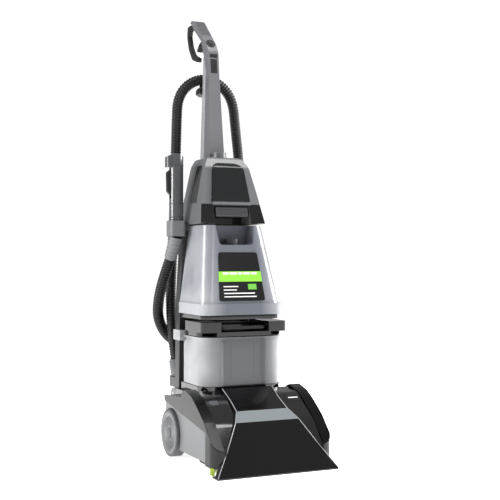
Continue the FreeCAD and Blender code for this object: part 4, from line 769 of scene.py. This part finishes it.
class CLEANER_OT_handle_trim(bpy.types.Operator):
    """Adds the grip's ribs, the button's surround, the collar and the handle's dark film"""

    bl_idname = "cleaner.handle_trim"
    bl_label = "Handle trim"

    def execute(self, context):
        start, end = Vector((0, 165, 1056)), Vector((0, 207, 1094.6))
        along = (end - start).normalized()
        tilt = Matrix.Rotation(math.atan2(along.z, along.y), 4, "X")
        bm = bmesh.new()
        count = 10
        for k in range(count):
            at = start.lerp(end, k / (count - 1))
            block(bm, (-13.4, at.y - 1.1, at.z - 0.6), (13.4, at.y + 1.1, at.z + 0.6), tilt)
        finish("grip_ribs", bm, "charcoal_abs", "handle")

        bm = bmesh.new()
        lean = Matrix.Rotation(math.radians(44), 4, "X")
        place = Matrix.Translation(Vector((0, 134, 1029)) * MM) @ lean
        bmesh.ops.create_circle(bm, segments=40, radius=8.4 * MM)
        rim = bmesh.ops.create_circle(bm, segments=40, radius=11.5 * MM)["verts"]
        bmesh.ops.scale(bm, vec=(0.98, 1.25, 1), verts=rim)
        bmesh.ops.bridge_loops(bm, edges=bm.edges[:])
        raised = bmesh.ops.extrude_face_region(bm, geom=bm.faces[:])["geom"]
        bmesh.ops.translate(bm, vec=(0, 0, 0.9 * MM),
                            verts=[v for v in raised if isinstance(v, bmesh.types.BMVert)])
        bmesh.ops.transform(bm, matrix=place, verts=bm.verts)
        bmesh.ops.recalc_face_normals(bm, faces=bm.faces)
        finish("button_surround", bm, "black_abs", "handle")

        bm = bmesh.new()
        for radius, low, high in ((18.4, 726.5, 733), (16.4, 733, 737), (18.0, 737, 741.5)):
            bmesh.ops.create_cone(bm, cap_ends=True, segments=40, radius1=radius * MM,
                                  radius2=radius * MM, depth=(high - low) * MM,
                                  matrix=Matrix.Translation(Vector((0, 78, (low + high) / 2)) * MM))
        soften(bm, sharp_edges(bm, 60), 0.8 * MM, 2)
        finish("handle_collar", bm, "handle_abs", "handle", 40)

        def face_y(z):
            return 111 + (z - 947) * 5 / 53

        bm = bmesh.new()
        for low, high, half in ((948, 984, 8.5), (988, 997, 10)):
            plate(bm, [(-half, face_y(low) - 0.1, low), (half, face_y(low) - 0.1, low),
                       (half, face_y(high) - 0.1, high), (-half, face_y(high) - 0.1, high)], 0.4)
        finish("handle_panel", bm, "decal", "handle")
        return {"FINISHED"}


class CLEANER_OT_wand_trim(bpy.types.Operator):
    """Adds rings to the wand and ribs to the hose's cuff"""

    bl_idname = "cleaner.wand_trim"
    bl_label = "Wand trim"

    def execute(self, context):
        bm = bmesh.new()
        for z in (572, 578, 612, 706):
            bmesh.ops.create_cone(bm, cap_ends=True, segments=40, radius1=18.2 * MM,
                                  radius2=18.2 * MM, depth=2.2 * MM,
                                  matrix=Matrix.Translation(Vector((-112, 86, z)) * MM))
        soften(bm, sharp_edges(bm, 60), 0.5 * MM, 2)
        finish("wand_rings", bm, "charcoal_abs", "handle", 40)
        foot, ahead = Vector(HOSE_ROUTE[0]), (Vector(HOSE_ROUTE[1]) - Vector(HOSE_ROUTE[0])).normalized()
        turn = Vector((0, 0, 1)).rotation_difference(ahead).to_matrix().to_4x4()
        bm = bmesh.new()
        for k in range(7):
            place = foot + ahead * (k * 5 - 12) * MM
            bmesh.ops.create_cone(bm, cap_ends=True, segments=36, radius1=18.6 * MM, radius2=18.6 * MM,
                                  depth=2.4 * MM, matrix=Matrix.Translation(place) @ turn)
        soften(bm, sharp_edges(bm, 60), 0.6 * MM, 2)
        finish("cuff_ribs", bm, "cuff", "handle", 40)
        return {"FINISHED"}


class CLEANER_OT_bristles(bpy.types.Operator):
    """Adds filaments to the brushes and the combs beside them"""

    bl_idname = "cleaner.bristles"
    bl_label = "Bristles"

    def execute(self, context):
        radius = context.scene.cleaner_sizes.bristle_radius
        draw = random.Random(7)
        for k in range(6):
            bm = bmesh.new()
            cx, cy = 45 * (k - 2.5), -204
            for tuft in range(9):
                angle = math.tau * tuft / 9 + (0 if k % 2 else math.radians(10))
                tx, ty = cx + 14 * math.cos(angle), cy + 14 * math.sin(angle)
                for i in range(12):
                    a, r = draw.uniform(0, math.tau), 3.4 * math.sqrt(draw.random())
                    top = Vector((tx + r * math.cos(a), ty + r * math.sin(a), 21.5)) * MM
                    foot = Vector((tx + 1.5 * r * math.cos(a), ty + 1.5 * r * math.sin(a), 3.1)) * MM
                    tube(bm, [foot, top], [radius * 0.8, radius], 4)
            finish(f"brush_{k + 1}_bristles", bm, "bristle", f"brush_{k + 1}", 60)
        bm = bmesh.new()
        for sign in (-1, 1):
            for i in range(90):
                x, y = sign * (draw.uniform(141.5, 147)), draw.uniform(-237.5, -219)
                foot = Vector((x, y, 3.2)) * MM
                top = Vector((x, y, 20)) * MM
                tube(bm, [foot, top], [radius * 0.8, radius], 4)
        finish("comb_bristles", bm, "bristle", "foot", 60, ["edge_bristles"])
        bm = bmesh.new()
        for row in range(6):
            for i in range(20):
                angle = math.tau * (row / 6 + i / 60)
                x = -29 + 3 * i
                out = Vector((0, math.cos(angle), math.sin(angle)))
                base = Vector((x, 54, 634))
                tube(bm, [(base + out * 7.5) * MM, (base + out * 11.2) * MM], [radius, radius * 0.8], 4)
        finish("tool_bristles", bm, "bristle", "hand_tool_brush", 60)
        return {"FINISHED"}


OPERATORS = [
    CLEANER_OT_stage, CLEANER_OT_shells, CLEANER_OT_hose, CLEANER_OT_plain, CLEANER_OT_nozzle_trim,
    CLEANER_OT_wheel_trim, CLEANER_OT_tank_marks, CLEANER_OT_handle_trim, CLEANER_OT_wand_trim,
    CLEANER_OT_bristles,
]


class CLEANER_PT_panel(bpy.types.Panel):
    """Lists the machine's groups of pieces and their settings"""

    bl_idname = "CLEANER_PT_panel"
    bl_label = "Carpet Cleaner"
    bl_space_type = "VIEW_3D"
    bl_region_type = "UI"
    bl_category = "Cleaner"

    def draw(self, context):
        for group in (context.scene.cleaner_sizes, context.scene.cleaner_colours):
            for name in type(group).__annotations__:
                self.layout.prop(group, name)
        for operator in OPERATORS:
            self.layout.operator(operator.bl_idname)


CLASSES = [CleanerSizes, CleanerColours, *OPERATORS, CLEANER_PT_panel]


def register():
    for item in CLASSES:
        bpy.utils.register_class(item)
    bpy.types.Scene.cleaner_sizes = bpy.props.PointerProperty(type=CleanerSizes)
    bpy.types.Scene.cleaner_colours = bpy.props.PointerProperty(type=CleanerColours)


def unregister():
    del bpy.types.Scene.cleaner_colours
    del bpy.types.Scene.cleaner_sizes
    for item in reversed(CLASSES):
        bpy.utils.unregister_class(item)


MATERIALS = make_materials()


def main():
    register()
    for operator in OPERATORS:
        group, name = operator.bl_idname.split(".")
        getattr(getattr(bpy.ops, group), name)()


if __name__ == "__main__":
    main()
